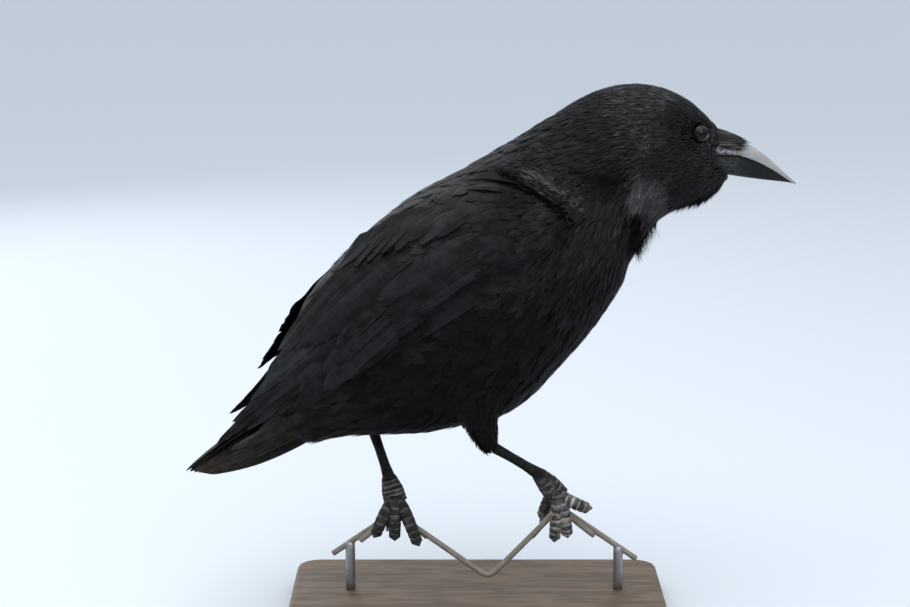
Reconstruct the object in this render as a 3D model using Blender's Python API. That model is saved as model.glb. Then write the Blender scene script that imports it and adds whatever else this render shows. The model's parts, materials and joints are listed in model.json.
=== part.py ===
"""Life-size carrion crow standing on a short cut length of fence wire.

The bird faces +X with its right side towards -Y and +Z up. The plain base rests
on the floor at z = 0, and two short rods carry the wire the bird grips. All
lengths are in metres.
"""
import math

import bmesh
import bpy
import numpy as np
from mathutils import Vector

GAP = 0.0003              # clearance kept between neighbouring pieces
MM = 0.001

# body sections from the bill base to the rump: the top and underside of the
# outline (x, z), the half width and how much wider the lower half is, in mm
SECTIONS = (
    ("bill_base", (158, 342), (169, 307), 11.0, 0.00),
    ("lore", (150, 350), (160, 295), 15.5, 0.02),
    ("eye", (139, 359), (150, 288), 19.0, 0.05),
    ("crown", (124, 366), (134, 284), 21.5, 0.08),
    ("hind_crown", (107, 369), (119, 274), 24.0, 0.08),
    ("nape", (87, 367), (110, 259), 28.0, 0.06),
    ("hind_neck", (66, 358), (102, 247), 33.0, 0.04),
    ("shoulder", (45, 345), (98, 233), 40.0, 0.02),
    ("mantle", (16, 327), (83, 209), 49.0, 0.04),
    ("back", (-14, 310), (57, 177), 54.5, 0.06),
    ("mid_back", (-44, 293), (28, 148), 56.0, 0.08),
    ("belly", (-66, 274), (-6, 136), 54.0, 0.08),
    ("loin", (-86, 248), (-38, 130), 48.0, 0.06),
    ("vent", (-109, 224), (-71, 128), 41.0, 0.02),
    ("rump", (-130, 196), (-98, 126), 33.0, 0.02),
    ("tail_root", (-147, 168), (-116, 122), 26.0, 0.02),
)
HEAD_ENDS = 4.4           # section number where the head meets the neck
NECK_ENDS = 6.7           # section number where the neck meets the trunk
BODY_SIDES = 24
ROUNDNESS = 0.86          # 1 gives ellipses, less gives fuller shoulders
RINGS_PER_SECTION = 3

# wing sections from the bend to the tip: upper edge (x, z), its distance from
# the mid plane, lower edge (x, z), its distance, and the thickness, in mm
WING_SECTIONS = (
    ("bend", (57, 292), 44, (59, 279), 47, 3.0),
    ("wrist", (43, 303), 38, (48, 266), 54, 6.0),
    ("forearm", (12, 309), 28, (12, 254), 60, 7.0),
    ("elbow", (-26, 302), 14, (-26, 233), 61, 7.5),
    ("tertials", (-62, 280), 4.5, (-58, 199), 59, 7.0),
    ("secondaries", (-95, 250), 1.8, (-86, 179), 51, 6.0),
    ("outer_secondaries", (-119, 220), 1.4, (-112, 166), 41, 4.6),
    ("primaries", (-138, 190), 1.3, (-135, 154), 31, 3.4),
    ("long_primaries", (-154, 161), 1.4, (-157, 141), 22, 2.4),
    ("tip", (-175, 132), 4.0, (-178, 127), 12, 1.2),
)
WING_RINGS = 2
WING_STEPS = 7

# tail sections from root to tip: centre (x, z), half width, half thickness and
# how far the outer edges droop, in mm
TAIL_SECTIONS = (
    ("root", (-129, 141), 23.0, 18.0, 1.0),
    ("coverts", (-143, 133), 24.5, 12.5, 5.0),
    ("middle", (-163, 121), 26.0, 6.5, 7.0),
    ("outer", (-184, 110), 24.0, 3.0, 6.5),
    ("tip", (-201, 101), 13.0, 0.8, 3.0),
)
TAIL_SIDES = 20
TAIL_RINGS = 2

EYE_RADIUS = 0.0062
EYE_AT = (0.1472, 0.0124, 0.3366)

# bill sections: distance ahead of the bill base, then culmen height, cutting
# edge height, underside height and half width, in mm
BILL_SECTIONS = (
    (0.0, 339.0, 321.6, 307.4, 9.4),
    (9.0, 333.5, 320.6, 306.2, 8.4),
    (20.0, 326.4, 317.4, 304.9, 6.8),
    (30.0, 319.0, 312.6, 303.9, 5.2),
    (39.0, 311.0, 307.6, 303.0, 3.6),
    (45.0, 305.4, 303.8, 302.2, 2.0),
    (49.0, 302.2, 301.4, 301.0, 0.7),
)
BILL_BASE_X = 0.1649
BILL_LEAN = 0.31          # the bill base leans back by this much per unit height

# legs: ankle and foot pad positions
ANKLE = {"right": (0.0080, -0.0290, 0.1270), "left": (-0.0745, 0.0240, 0.1270)}
KNEE = {"right": (-0.0030, -0.0300, 0.1600), "left": (-0.0580, 0.0300, 0.1640)}
PAD = {"right": (0.0560, 0.0000, 0.0822), "left": (-0.0570, 0.0000, 0.0786)}
INSTEP = {"right": (0.0435, -0.0035, 0.0985), "left": (-0.0610, 0.0030, 0.0930)}
TARSUS_RADIUS = 0.0032
TOE_RADIUS = 0.0035
# toes: sideways travel and depth of the last joint, in mm, right then left foot
TOES = {
    "right": {"inner": (19.5, 5.5), "middle": (6.0, 24.0), "outer": (-2.6, 27.0)},
    "left": {"inner": (-13.5, 20.5), "middle": (-0.5, 22.5), "outer": (15.0, 26.5)},
}
HALLUX = {"right": (-10.5, 17.0), "left": (-5.5, 19.0)}

# perch: peaks and valley of the bent wires
WIRE_RADIUS = 0.0020
WIRE_OFFSET = 0.0022      # each wire lies this far from the mid plane
PEAK = {"rear": (-0.0570, 0.0705), "front": (0.0565, 0.0742)}
VALLEY = (0.0080, 0.0235)
OUTER_END = {"rear": (-0.1010, 0.0400), "front": (0.1110, 0.0362)}
DOUBLED_LENGTH = 0.0300   # cut ends that lie back down beside the next wire

BASE_LENGTH = 0.2600
BASE_WIDTH = 0.1360
BASE_HEIGHT = 0.0140
BASE_CORNER = 0.0160
BASE_EDGE = 0.0022
ROD_RADIUS = 0.0034
ROD_X = {"rear": -0.0890, "front": 0.0985}

COLOURS = {
    "feather": (0.020, 0.020, 0.022, 0.55, 0.0),
    "bill": (0.055, 0.057, 0.060, 0.38, 0.0),
    "eye": (0.012, 0.008, 0.006, 0.08, 0.0),
    "leg": (0.045, 0.046, 0.050, 0.55, 0.0),
    "claw": (0.020, 0.020, 0.022, 0.30, 0.0),
    "wire": (0.52, 0.53, 0.53, 0.42, 0.9),
    "base": (0.22, 0.13, 0.07, 0.45, 0.0),
    "rod": (0.10, 0.10, 0.11, 0.40, 0.8),
}


def material(slot):
    """The plain finish for one material slot."""
    found = bpy.data.materials.get(slot)
    if found:
        return found
    red, green, blue, rough, metal = COLOURS[slot]
    made = bpy.data.materials.new(slot)
    made.use_nodes = True
    shader = made.node_tree.nodes["Principled BSDF"]
    shader.inputs["Base Color"].default_value = (red, green, blue, 1.0)
    shader.inputs["Roughness"].default_value = rough
    shader.inputs["Metallic"].default_value = metal
    return made


def smooth_row(rows, at):
    """One row of a section table at a fractional row number, eased through."""
    rows = np.asarray(rows, float)
    at = min(max(at, 0.0), len(rows) - 1.0)
    low = min(int(at), len(rows) - 2)
    part = at - low
    before = rows[max(low - 1, 0)]
    start = rows[low]
    end = rows[low + 1]
    after = rows[min(low + 2, len(rows) - 1)]
    return 0.5 * (
        2 * start
        + (end - before) * part
        + (2 * before - 5 * start + 4 * end - after) * part ** 2
        + (3 * start - before - 3 * end + after) * part ** 3
    )


def finish(name, verts, faces, slot, smooth=True):
    """One named closed object from its corners and faces."""
    mesh = bpy.data.meshes.new(name)
    mesh.from_pydata([tuple(v) for v in verts], [], faces)
    work = bmesh.new()
    work.from_mesh(mesh)
    bmesh.ops.remove_doubles(work, verts=work.verts, dist=0.00002)
    bmesh.ops.recalc_face_normals(work, faces=work.faces)
    work.to_mesh(mesh)
    work.free()
    for poly in mesh.polygons:
        poly.use_smooth = smooth
    mesh.materials.append(material(slot))
    made = bpy.data.objects.new(name, mesh)
    bpy.context.collection.objects.link(made)
    return made


def skinned(name, rings, slot, smooth=True):
    """A closed body skinned over equal rings of points, capped at both ends."""
    rings = [np.asarray(ring, float) for ring in rings]
    count = len(rings[0])
    verts = [point for ring in rings for point in ring]
    faces = []
    for row in range(len(rings) - 1):
        for step in range(count):
            nxt = (step + 1) % count
            a = row * count
            b = a + count
            faces.append((a + step, a + nxt, b + nxt, b + step))
    for row in (0, len(rings) - 1):
        middle = len(verts)
        verts.append(rings[row].mean(axis=0))
        base = row * count
        for step in range(count):
            faces.append((middle, base + step, base + (step + 1) % count))
    return finish(name, verts, faces, slot, smooth)


def cut_away(body, cutter):
    """Takes the cutter's volume out of the body."""
    cutter.hide_render = True
    cutter.display_type = "WIRE"
    cut = body.modifiers.new("cut_" + cutter.name, "BOOLEAN")
    cut.operation = "DIFFERENCE"
    cut.solver = "EXACT"
    cut.object = cutter


def settle(body):
    """Applies the cuts, so the cutters can be thrown away."""
    graph = bpy.context.evaluated_depsgraph_get()
    solid = bpy.data.meshes.new_from_object(body.evaluated_get(graph))
    cutters = [cut.object for cut in body.modifiers]
    body.modifiers.clear()
    body.data = solid
    work = bmesh.new()
    work.from_mesh(solid)
    bmesh.ops.remove_doubles(work, verts=work.verts, dist=0.00003)
    bmesh.ops.dissolve_degenerate(work, edges=work.edges, dist=0.00002)
    work.to_mesh(solid)
    work.free()
    return cutters


def drop(objects):
    """Removes spent cutters."""
    for spent in set(objects):
        bpy.data.objects.remove(spent)


def grown(body, by=GAP * 1.25):
    """A cutter: the body with its surface moved outward a little."""
    mesh = body.data.copy()
    work = bmesh.new()
    work.from_mesh(mesh)
    work.normal_update()
    moves = [(vert, vert.normal.copy() * by) for vert in work.verts]
    for vert, move in moves:
        vert.co += move
    work.to_mesh(mesh)
    work.free()
    made = bpy.data.objects.new("room_for_" + body.name, mesh)
    bpy.context.collection.objects.link(made)
    return made


def make_room(piece, neighbours):
    """Cuts a piece back so it clears each neighbour that is already there."""
    for other in neighbours:
        cut_away(piece, grown(other))
    drop(settle(piece))


# ---------------------------------------------------------------- body

def body_section(at, shrink=0.0):
    """Ring of points round the body at a section number."""
    rows = [(*top, *low, half, egg) for _, top, low, half, egg in SECTIONS]
    tx, tz, lx, lz, half, egg = smooth_row(rows, at)
    top = np.array([tx, 0.0, tz]) * MM
    low = np.array([lx, 0.0, lz]) * MM
    middle = (top + low) / 2
    rise = (top - low) / 2
    ring = []
    for step in range(BODY_SIDES):
        turn = 2 * math.pi * step / BODY_SIDES
        up = math.cos(turn)
        side = math.sin(turn)
        if abs(side) < 1e-6:
            side = 1e-6
        wide = half * MM * (1.0 - egg * up) * abs(side) ** (ROUNDNESS - 1.0)
        point = middle + rise * up + np.array([0.0, wide * side, 0.0])
        ring.append(middle + (point - middle) * (1.0 - shrink))
    return ring


def body_part(name, start, end, rings=0):
    """The body between two section numbers."""
    count = rings or max(4, round((end - start) * RINGS_PER_SECTION))
    return skinned(
        name,
        [body_section(start + (end - start) * k / count) for k in range(count + 1)],
        "feather",
    )


def wing_point(row, over, depth, side, grow=0.0):
    """A point on the folded wing: over runs from its upper to its lower edge."""
    ux, uz, uy, lx, lz, ly, _ = row
    upper = np.array([ux, 0.0, uz]) * MM
    lower = np.array([lx, 0.0, lz]) * MM
    turn = over * math.pi / 2
    rise = upper - lower
    height = float(np.linalg.norm(rise))
    rise = rise / max(height, 1e-9)
    reach = (ly - uy) * MM
    tall = height - depth + grow
    wide = reach - depth + grow
    point = lower + rise * tall * math.cos(turn)
    point[1] = side * (uy * MM + max(wide, 0.0002) * math.sin(turn))
    return point


def wing_ring(at, side, proud=0.0, extra=0.0):
    """Ring round one wing section: outer face down, then inner face back up."""
    rows = [(*top, uy, *low, ly, thick) for _, top, uy, low, ly, thick in WING_SECTIONS]
    row = smooth_row(rows, at)
    thick = row[6] * MM
    outer = []
    inner = []
    for step in range(WING_STEPS + 1):
        over = step / WING_STEPS
        edge = math.sin(math.pi * min(max(over, 0.0), 1.0)) ** 0.5
        depth = 0.0006 + (thick - 0.0006) * max(edge, 0.28)
        outer.append(wing_point(row, over, 0.0, side, proud))
        inner.append(wing_point(row, over, depth + extra, side))
    return outer, inner


def wing(side_name, side):
    """One folded wing."""
    count = (len(WING_SECTIONS) - 1) * WING_RINGS
    rings = []
    for k in range(count + 1):
        outer, inner = wing_ring(k / WING_RINGS, side)
        rings.append(outer + inner[::-1])
    return skinned("wing_" + side_name, rings, "feather")


def wing_cutter(side_name, side):
    """The room a wing needs in the trunk, open to the outside."""
    count = (len(WING_SECTIONS) - 1) * WING_RINGS
    rings = []
    for k in range(-1, count + 2):
        at = min(max(k / WING_RINGS, 0.0), len(WING_SECTIONS) - 1.0)
        outer, inner = wing_ring(at, side, proud=0.030, extra=GAP * 1.6)
        ring = np.array(outer + inner[::-1])
        spine = ring.mean(axis=0)
        ring = spine + (ring - spine) * 1.02
        if k < 0 or k > count:
            ring = ring + np.array([0.0006 if k < 0 else -0.0006, 0.0, 0.0])
        rings.append(ring)
    return skinned("room_for_wing_" + side_name, rings, "feather")


def tail():
    """The closed tail, roof-shaped towards its tip."""
    rows = [(*c, half, thick, droop) for _, c, half, thick, droop in TAIL_SECTIONS]
    rings = []
    count = (len(rows) - 1) * TAIL_RINGS
    for k in range(count + 1):
        at = k / TAIL_RINGS
        cx, cz, half, thick, droop = smooth_row(rows, at)
        slope = smooth_row(rows, at + 0.05) - smooth_row(rows, at - 0.05)
        along = np.array([slope[0], 0.0, slope[1]])
        along = along / np.linalg.norm(along)
        rise = np.array([-along[2], 0.0, along[0]])
        rise = rise * np.sign(rise[2])
        ring = []
        for step in range(TAIL_SIDES):
            turn = 2 * math.pi * step / TAIL_SIDES
            across = math.sin(turn)
            lift = math.cos(turn) * thick - droop * abs(across) ** 1.6
            point = np.array([cx, half * across, cz]) + rise * lift
            ring.append(point * MM)
        rings.append(ring)
    return skinned("tail", rings, "feather")


# ---------------------------------------------------------------- tubes

def path_points(points, steps):
    """An eased curve through a few points."""
    count = (len(points) - 1) * steps
    return [Vector(smooth_row(points, k / steps)) for k in range(count + 1)]


def rounded_path(points, bend, steps):
    """Straight runs with an arc-like bend at each inner corner."""
    points = [Vector(p) for p in points]
    path = [points[0]]
    for before, corner, after in zip(points, points[1:], points[2:]):
        into = (before - corner).normalized() * bend
        out = (after - corner).normalized() * bend
        for k in range(steps + 1):
            t = k / steps
            start = corner + into * (1 - t)
            end = corner + out * t
            path.append(start.lerp(end, t))
    path.append(points[-1])
    return path


def tube(name, path, radii, slot, sides=8, flat=1.0, domed=True):
    """A round tapering bar along a path; flat squashes it in height."""
    path = [Vector(p) for p in path]
    count = len(path)
    radii = np.interp(np.linspace(0, 1, count), np.linspace(0, 1, len(radii)), radii)
    normal = None
    rings = []
    for k, point in enumerate(path):
        ahead = path[min(k + 1, count - 1)] - path[max(k - 1, 0)]
        ahead.normalize()
        if normal is None:
            normal = ahead.orthogonal()
            for axis in (Vector((0, 1, 0)), Vector((1, 0, 0))):
                if abs(ahead.dot(axis)) < 0.8:
                    normal = axis.cross(ahead).normalized()
                    break
        normal = (normal - ahead * normal.dot(ahead)).normalized()
        side = ahead.cross(normal)
        radius = float(radii[k])

        def ring_at(centre, scale):
            made = []
            for step in range(sides):
                turn = 2 * math.pi * (step + 0.5) / sides
                made.append(
                    centre
                    + normal * math.cos(turn) * radius * scale * flat
                    + side * math.sin(turn) * radius * scale
                )
            return made

        if domed and k == 0:
            rings.append(ring_at(point - ahead * radius * 0.5, 0.62))
        rings.append(ring_at(point, 1.0))
        if domed and k == count - 1:
            rings.append(ring_at(point + ahead * radius * 0.5, 0.62))
    return skinned(name, rings, slot)


# ---------------------------------------------------------------- head details

def ball(name, centre, radius, slot, rows=8, sides=14):
    """A round ball with its poles left and right."""
    rings = []
    for row in range(1, rows):
        lean = math.pi * row / rows
        ring = []
        for step in range(sides):
            turn = 2 * math.pi * step / sides
            ring.append((
                centre[0] + radius * math.sin(lean) * math.cos(turn),
                centre[1] - radius * math.cos(lean),
                centre[2] + radius * math.sin(lean) * math.sin(turn),
            ))
        rings.append(ring)
    made = skinned(name, rings, slot)
    for vert in made.data.vertices:
        reach = vert.co - Vector(centre)
        if reach.length < radius * 0.999:
            vert.co = Vector(centre) + reach.normalized() * radius
    return made


def bill_ring(row, upper):
    """One section of the upper or lower half of the bill."""
    ahead, top, edge, under, half = row
    ring = []
    if upper:
        profile = ((-1.0, 0.0), (-0.96, 0.30), (-0.78, 0.62), (-0.42, 0.90),
                   (0.0, 1.0), (0.42, 0.90), (0.78, 0.62), (0.96, 0.30), (1.0, 0.0))
        low = edge
        tall = top - edge
    else:
        profile = ((-0.93, 0.0), (-0.90, -0.40), (-0.66, -0.84), (0.0, -1.0),
                   (0.66, -0.84), (0.90, -0.40), (0.93, 0.0))
        low = edge - GAP / MM
        tall = max(low - under, 0.25)
    for across, lift in profile:
        height = (low + tall * lift) * MM
        lean = BILL_LEAN * (0.3215 - height) * max(0.0, 1.0 - ahead / 30.0)
        ring.append((BILL_BASE_X + ahead * MM + lean, across * half * MM, height))
    return ring


def bill(name, upper):
    """The upper or lower half of the bill."""
    count = (len(BILL_SECTIONS) - 1) * 2
    rings = [bill_ring(smooth_row(BILL_SECTIONS, k / 2), upper) for k in range(count + 1)]
    return skinned(name, rings, "bill")


# ---------------------------------------------------------------- legs and feet

def leg(side_name):
    """Feathered thigh and bare shank of one leg."""
    ankle = Vector(ANKLE[side_name])
    knee = Vector(KNEE[side_name])
    instep = Vector(INSTEP[side_name])
    pad = Vector(PAD[side_name])
    down = (instep - ankle).normalized()
    thigh_end = ankle + (ankle - knee).normalized() * 0.001
    thigh = tube(
        "thigh_" + side_name,
        path_points([knee, knee.lerp(ankle, 0.45), thigh_end], 4),
        (0.0190, 0.0150, 0.0098, 0.0058),
        "feather",
        sides=12,
    )
    start = ankle + down * 0.0075
    shank = tube(
        "tarsus_" + side_name,
        path_points([start, start.lerp(instep, 0.5), instep], 3),
        (TARSUS_RADIUS * 1.12, TARSUS_RADIUS, TARSUS_RADIUS * 1.1, TARSUS_RADIUS * 1.35),
        "leg",
    )
    foot_start = instep + (pad - instep).normalized() * 0.0026
    foot = tube(
        "foot_" + side_name,
        path_points([foot_start, foot_start.lerp(pad, 0.6), pad], 2),
        (0.0040, 0.0046, 0.0050),
        "leg",
        flat=1.34,
    )
    return thigh, shank, foot


def toe(side_name, toe_name, back=False):
    """One toe over the wire, and its claw."""
    pad = Vector(PAD[side_name])
    if back:
        travel, fall = HALLUX[side_name]
        forward = Vector((0, 1, 0))
    else:
        travel, fall = TOES[side_name][toe_name]
        forward = Vector((0, -1, 0))
    spread = Vector((travel * MM, 0, 0))
    sink = Vector((0, 0, -fall * MM))
    reach = 0.0090
    start = pad + forward * 0.0052 + spread * 0.16 + Vector((0, 0, 0.0006))
    crest = pad + forward * reach + spread * 0.42 + sink * 0.16
    shin = pad + forward * (reach + 0.0018) + spread * 0.74 + sink * 0.58
    tip = pad + forward * (reach + 0.0004) + spread + sink
    whole = path_points([start, crest, shin, tip], 2)
    digit = tube(
        "toe_" + toe_name + "_" + side_name,
        whole,
        (TOE_RADIUS * 1.08, TOE_RADIUS * 1.06, TOE_RADIUS, TOE_RADIUS * 0.84),
        "leg",
    )
    along = (tip - shin).normalized()
    root = tip + along * 0.0022
    bow = root + along * 0.0052 - forward * 0.0006
    point = root + along * 0.0098 - forward * 0.0060
    claw = tube(
        "claw_" + toe_name + "_" + side_name,
        path_points([root, bow, point], 2),
        (0.0017, 0.0014, 0.0009, 0.0004),
        "claw",
        sides=6,
        domed=False,
    )
    return digit, claw


# ---------------------------------------------------------------- perch and stand

def wire_paths():
    """Centre lines of the three bent wires."""
    def point(flat, offset):
        return (flat[0], offset, flat[1])

    def part_way(start, end, length):
        start = Vector((start[0], 0, start[1]))
        end = Vector((end[0], 0, end[1]))
        at = start + (end - start).normalized() * length
        return (at.x, at.z)

    rear_end = part_way(PEAK["rear"], OUTER_END["rear"], DOUBLED_LENGTH)
    front_end = part_way(PEAK["front"], OUTER_END["front"], DOUBLED_LENGTH)
    rear_back = part_way(PEAK["rear"], VALLEY, DOUBLED_LENGTH * 0.9)
    front_back = part_way(PEAK["front"], VALLEY, DOUBLED_LENGTH * 0.9)
    near = -WIRE_OFFSET
    far = WIRE_OFFSET
    return {
        "perch_wire_middle": [
            point(rear_end, near), point(PEAK["rear"], near), point(VALLEY, near),
            point(PEAK["front"], near), point(front_end, near),
        ],
        "perch_wire_rear": [
            point(OUTER_END["rear"], far), point(PEAK["rear"], far), point(rear_back, far),
        ],
        "perch_wire_front": [
            point(OUTER_END["front"], far), point(PEAK["front"], far),
            point(front_back, far),
        ],
    }


def wire(name, points, radius, slot="wire", sides=8):
    """One bent wire with rounded corners."""
    path = rounded_path(points, 0.0075, 3)
    return tube(name, path, (radius, radius), slot, sides=sides, domed=False)


def stand_base():
    """Flat rounded base with an eased top edge."""
    def outline(inset, height):
        ring = []
        corner = BASE_CORNER
        for quarter, (sx, sy) in enumerate(((1, 1), (-1, 1), (-1, -1), (1, -1))):
            cx = sx * (BASE_LENGTH / 2 - corner)
            cy = sy * (BASE_WIDTH / 2 - corner)
            for step in range(5):
                turn = math.radians(90 * quarter + 22.5 * step)
                ring.append((
                    cx + (corner - inset) * math.cos(turn),
                    cy + (corner - inset) * math.sin(turn),
                    height,
                ))
        return ring

    rings = [outline(0.0, 0.0), outline(0.0, BASE_HEIGHT - BASE_EDGE)]
    for step in (1, 2, 3):
        turn = math.radians(30 * step)
        inset = BASE_EDGE * (1 - math.cos(turn))
        rings.append(outline(inset, BASE_HEIGHT - BASE_EDGE * (1 - math.sin(turn))))
    return skinned("stand_base", rings, "base", smooth=False)


def stand_rod(end):
    """Short upright rod from the base up to the underside of the wire."""
    x = ROD_X[end]
    peak = PEAK[end]
    outer = OUTER_END[end]
    share = (x - peak[0]) / (outer[0] - peak[0])
    top = peak[1] + (outer[1] - peak[1]) * share
    rings = []
    for height in (BASE_HEIGHT + GAP, top + 0.0002):
        ring = []
        for step in range(20):
            turn = 2 * math.pi * step / 20
            ring.append((
                x + ROD_RADIUS * math.cos(turn),
                WIRE_OFFSET + ROD_RADIUS * math.sin(turn),
                height,
            ))
        rings.append(ring)
    return skinned("stand_rod_" + end, rings, "rod", smooth=False)


def build():
    """The whole mounted bird."""
    for spare in list(bpy.data.objects):
        bpy.data.objects.remove(spare)
    split = 0.006
    last = len(SECTIONS) - 1
    head = body_part("head", 0.0, HEAD_ENDS - split, 11)
    neck = body_part("neck", HEAD_ENDS + split, NECK_ENDS - split, 6)
    trunk = body_part("trunk", NECK_ENDS + split, last, 20)
    bill("bill_upper", True)
    bill("bill_lower", False)
    x, y, z = EYE_AT
    wings = []
    rooms = []
    for side_name, side in (("right", -1), ("left", 1)):
        eye = ball("eye_" + side_name, (x, side * y, z), EYE_RADIUS, "eye")
        cut_away(head, grown(eye))
        wings.append(wing(side_name, side))
        rooms.append(wing_cutter(side_name, side))
    for body in (neck, trunk):
        for room in rooms:
            cut_away(body, room)
    spent = settle(head) + settle(neck) + settle(trunk)
    drop(spent)
    make_room(tail(), [trunk] + wings)
    wires = [
        wire(name, points, WIRE_RADIUS) for name, points in wire_paths().items()
    ]
    for side_name in ("right", "left"):
        thigh, shank, foot = leg(side_name)
        make_room(thigh, [trunk])
        make_room(shank, [thigh, trunk])
        make_room(foot, [shank] + wires)
        placed = [foot, shank] + wires
        digits = [toe(side_name, toe_name) for toe_name in ("inner", "middle", "outer")]
        digits.append(toe(side_name, "hallux", back=True))
        for digit, claw in digits:
            make_room(digit, placed)
            make_room(claw, placed + [digit])
            placed += [digit, claw]
    stand_base()
    for end in ("rear", "front"):
        make_room(stand_rod(end), wires)


build()
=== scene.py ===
# %% [markdown]
# # A carrion crow, feather by feather
# The bird stands across a bent fence wire with its head low. A solid model already
# gives its size and outline. This lesson dresses that solid: one soft skin, thousands
# of small mesh feathers that follow the lie of the plumage, long quills laid on
# wing and tail, and a bill, eyes and feet that are modelled closely. Everything is
# plain mesh, so it can be exported as it stands.

import json
import math

import bmesh
import bpy
import numpy as np
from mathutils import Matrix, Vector
from mathutils.bvhtree import BVHTree
from mathutils.kdtree import KDTree

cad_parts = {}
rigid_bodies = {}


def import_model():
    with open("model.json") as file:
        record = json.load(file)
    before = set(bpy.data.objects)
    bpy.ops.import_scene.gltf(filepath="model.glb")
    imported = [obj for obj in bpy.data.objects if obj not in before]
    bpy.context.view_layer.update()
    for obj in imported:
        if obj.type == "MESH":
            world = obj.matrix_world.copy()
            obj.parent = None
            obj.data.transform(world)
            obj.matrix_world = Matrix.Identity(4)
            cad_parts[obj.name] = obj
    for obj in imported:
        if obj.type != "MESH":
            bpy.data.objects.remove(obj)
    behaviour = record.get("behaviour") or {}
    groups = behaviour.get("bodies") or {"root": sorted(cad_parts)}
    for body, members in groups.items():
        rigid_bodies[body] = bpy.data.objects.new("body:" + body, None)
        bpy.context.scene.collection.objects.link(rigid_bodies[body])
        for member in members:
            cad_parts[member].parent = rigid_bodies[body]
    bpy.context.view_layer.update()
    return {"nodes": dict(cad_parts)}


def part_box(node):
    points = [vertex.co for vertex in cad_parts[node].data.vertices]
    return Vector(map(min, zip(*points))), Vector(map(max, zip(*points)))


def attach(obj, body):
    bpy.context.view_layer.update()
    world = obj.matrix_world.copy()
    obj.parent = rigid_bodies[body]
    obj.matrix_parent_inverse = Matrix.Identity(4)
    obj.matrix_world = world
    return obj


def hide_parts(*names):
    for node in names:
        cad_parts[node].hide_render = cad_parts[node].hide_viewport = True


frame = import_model()
MM = 0.001

# %% [markdown]
# ## Camera, floor and light
# The camera stands a long step to the bird's right and a little above its back, with a
# long lens, so the side view hardly tapers. The light is an overcast sky: a pale world,
# one very large soft panel overhead and weaker ones in front and behind, so the black
# plumage shows its layers by soft gloss and not by hard shadows.

# %% Camera
TILT_DOWN = math.radians(11.5)
CAMERA_AT, LENS_MM = (-0.0157, -1.3719, 0.4981), 81.2
camera = bpy.data.objects.new("camera", bpy.data.cameras.new("camera"))
camera.data.lens, camera.data.sensor_width = LENS_MM, 36
camera.data.clip_start, camera.data.clip_end = 0.05, 50
camera.location = CAMERA_AT
camera.rotation_euler = (math.pi / 2 - TILT_DOWN, 0, 0)
bpy.context.collection.objects.link(camera)
bpy.context.scene.camera = camera
bpy.context.scene.view_settings.view_transform = "Standard"
print("camera stands", round(camera.location.length, 2), "m from the base")


# %% Floor and lamps
def plain_material(name, colour, roughness):
    """A matt surface for the set around the bird."""
    made = bpy.data.materials.new(name)
    made.use_nodes = True
    shader = made.node_tree.nodes["Principled BSDF"]
    shader.inputs["Base Color"].default_value = (*colour, 1)
    shader.inputs["Roughness"].default_value = roughness
    return made


bpy.ops.mesh.primitive_plane_add(size=14, location=(0, 2.0, -0.0004))
floor = bpy.context.object
floor.name = "floor"
floor.data.materials.append(plain_material("pale floor", (0.53, 0.56, 0.60), 0.8))

world = bpy.data.worlds.new("overcast")
world.use_nodes = True
sky = world.node_tree
direction = sky.nodes.new("ShaderNodeTexCoord").outputs["Generated"]
height = sky.nodes.new("ShaderNodeSeparateXYZ")
ramp = sky.nodes.new("ShaderNodeValToRGB")
sky.links.new(direction, height.inputs[0])
sky.links.new(height.outputs["Z"], ramp.inputs["Fac"])
sky.links.new(ramp.outputs["Color"], sky.nodes["Background"].inputs["Color"])
for element, (at, tone) in zip((*ramp.color_ramp.elements, ramp.color_ramp.elements.new(0.5)),
                               ((0.0, 0.16), (0.5, 0.55), (1.0, 1.0))):
    element.position, element.color = at, (0.86 * tone, 0.93 * tone, tone, 1)
sky.nodes["Background"].inputs["Strength"].default_value = 1.55
bpy.context.scene.world = world

LAMPS = {
    "sky_panel": ((-0.25, -0.35, 1.7), 1.5, 19, (1.0, 0.99, 0.97)),
    "front_panel": ((0.5, -1.9, 1.9), 1.6, 12, (0.93, 0.97, 1.0)),
    "back_panel": ((-0.9, 1.4, 1.0), 1.2, 9, (0.95, 0.97, 1.0)),
}
BIRD_MIDDLE = Vector((0, 0, 0.22))
for name, (stands, size, power, colour) in LAMPS.items():
    lamp = bpy.data.lights.new(name, "AREA")
    lamp.size, lamp.energy, lamp.color = size, power, colour
    holder = bpy.data.objects.new(name, lamp)
    holder.location = stands
    aim = BIRD_MIDDLE - holder.location
    holder.rotation_euler = aim.to_track_quat("-Z", "Y").to_euler()
    bpy.context.collection.objects.link(holder)
print("lamps:", ", ".join(LAMPS))

# %% [markdown]
# ## Sums written as sums
# Shader nodes are easier to read as arithmetic. This class holds one socket and adds a
# Math node for each operator; every other node comes from its `node` method.


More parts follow.
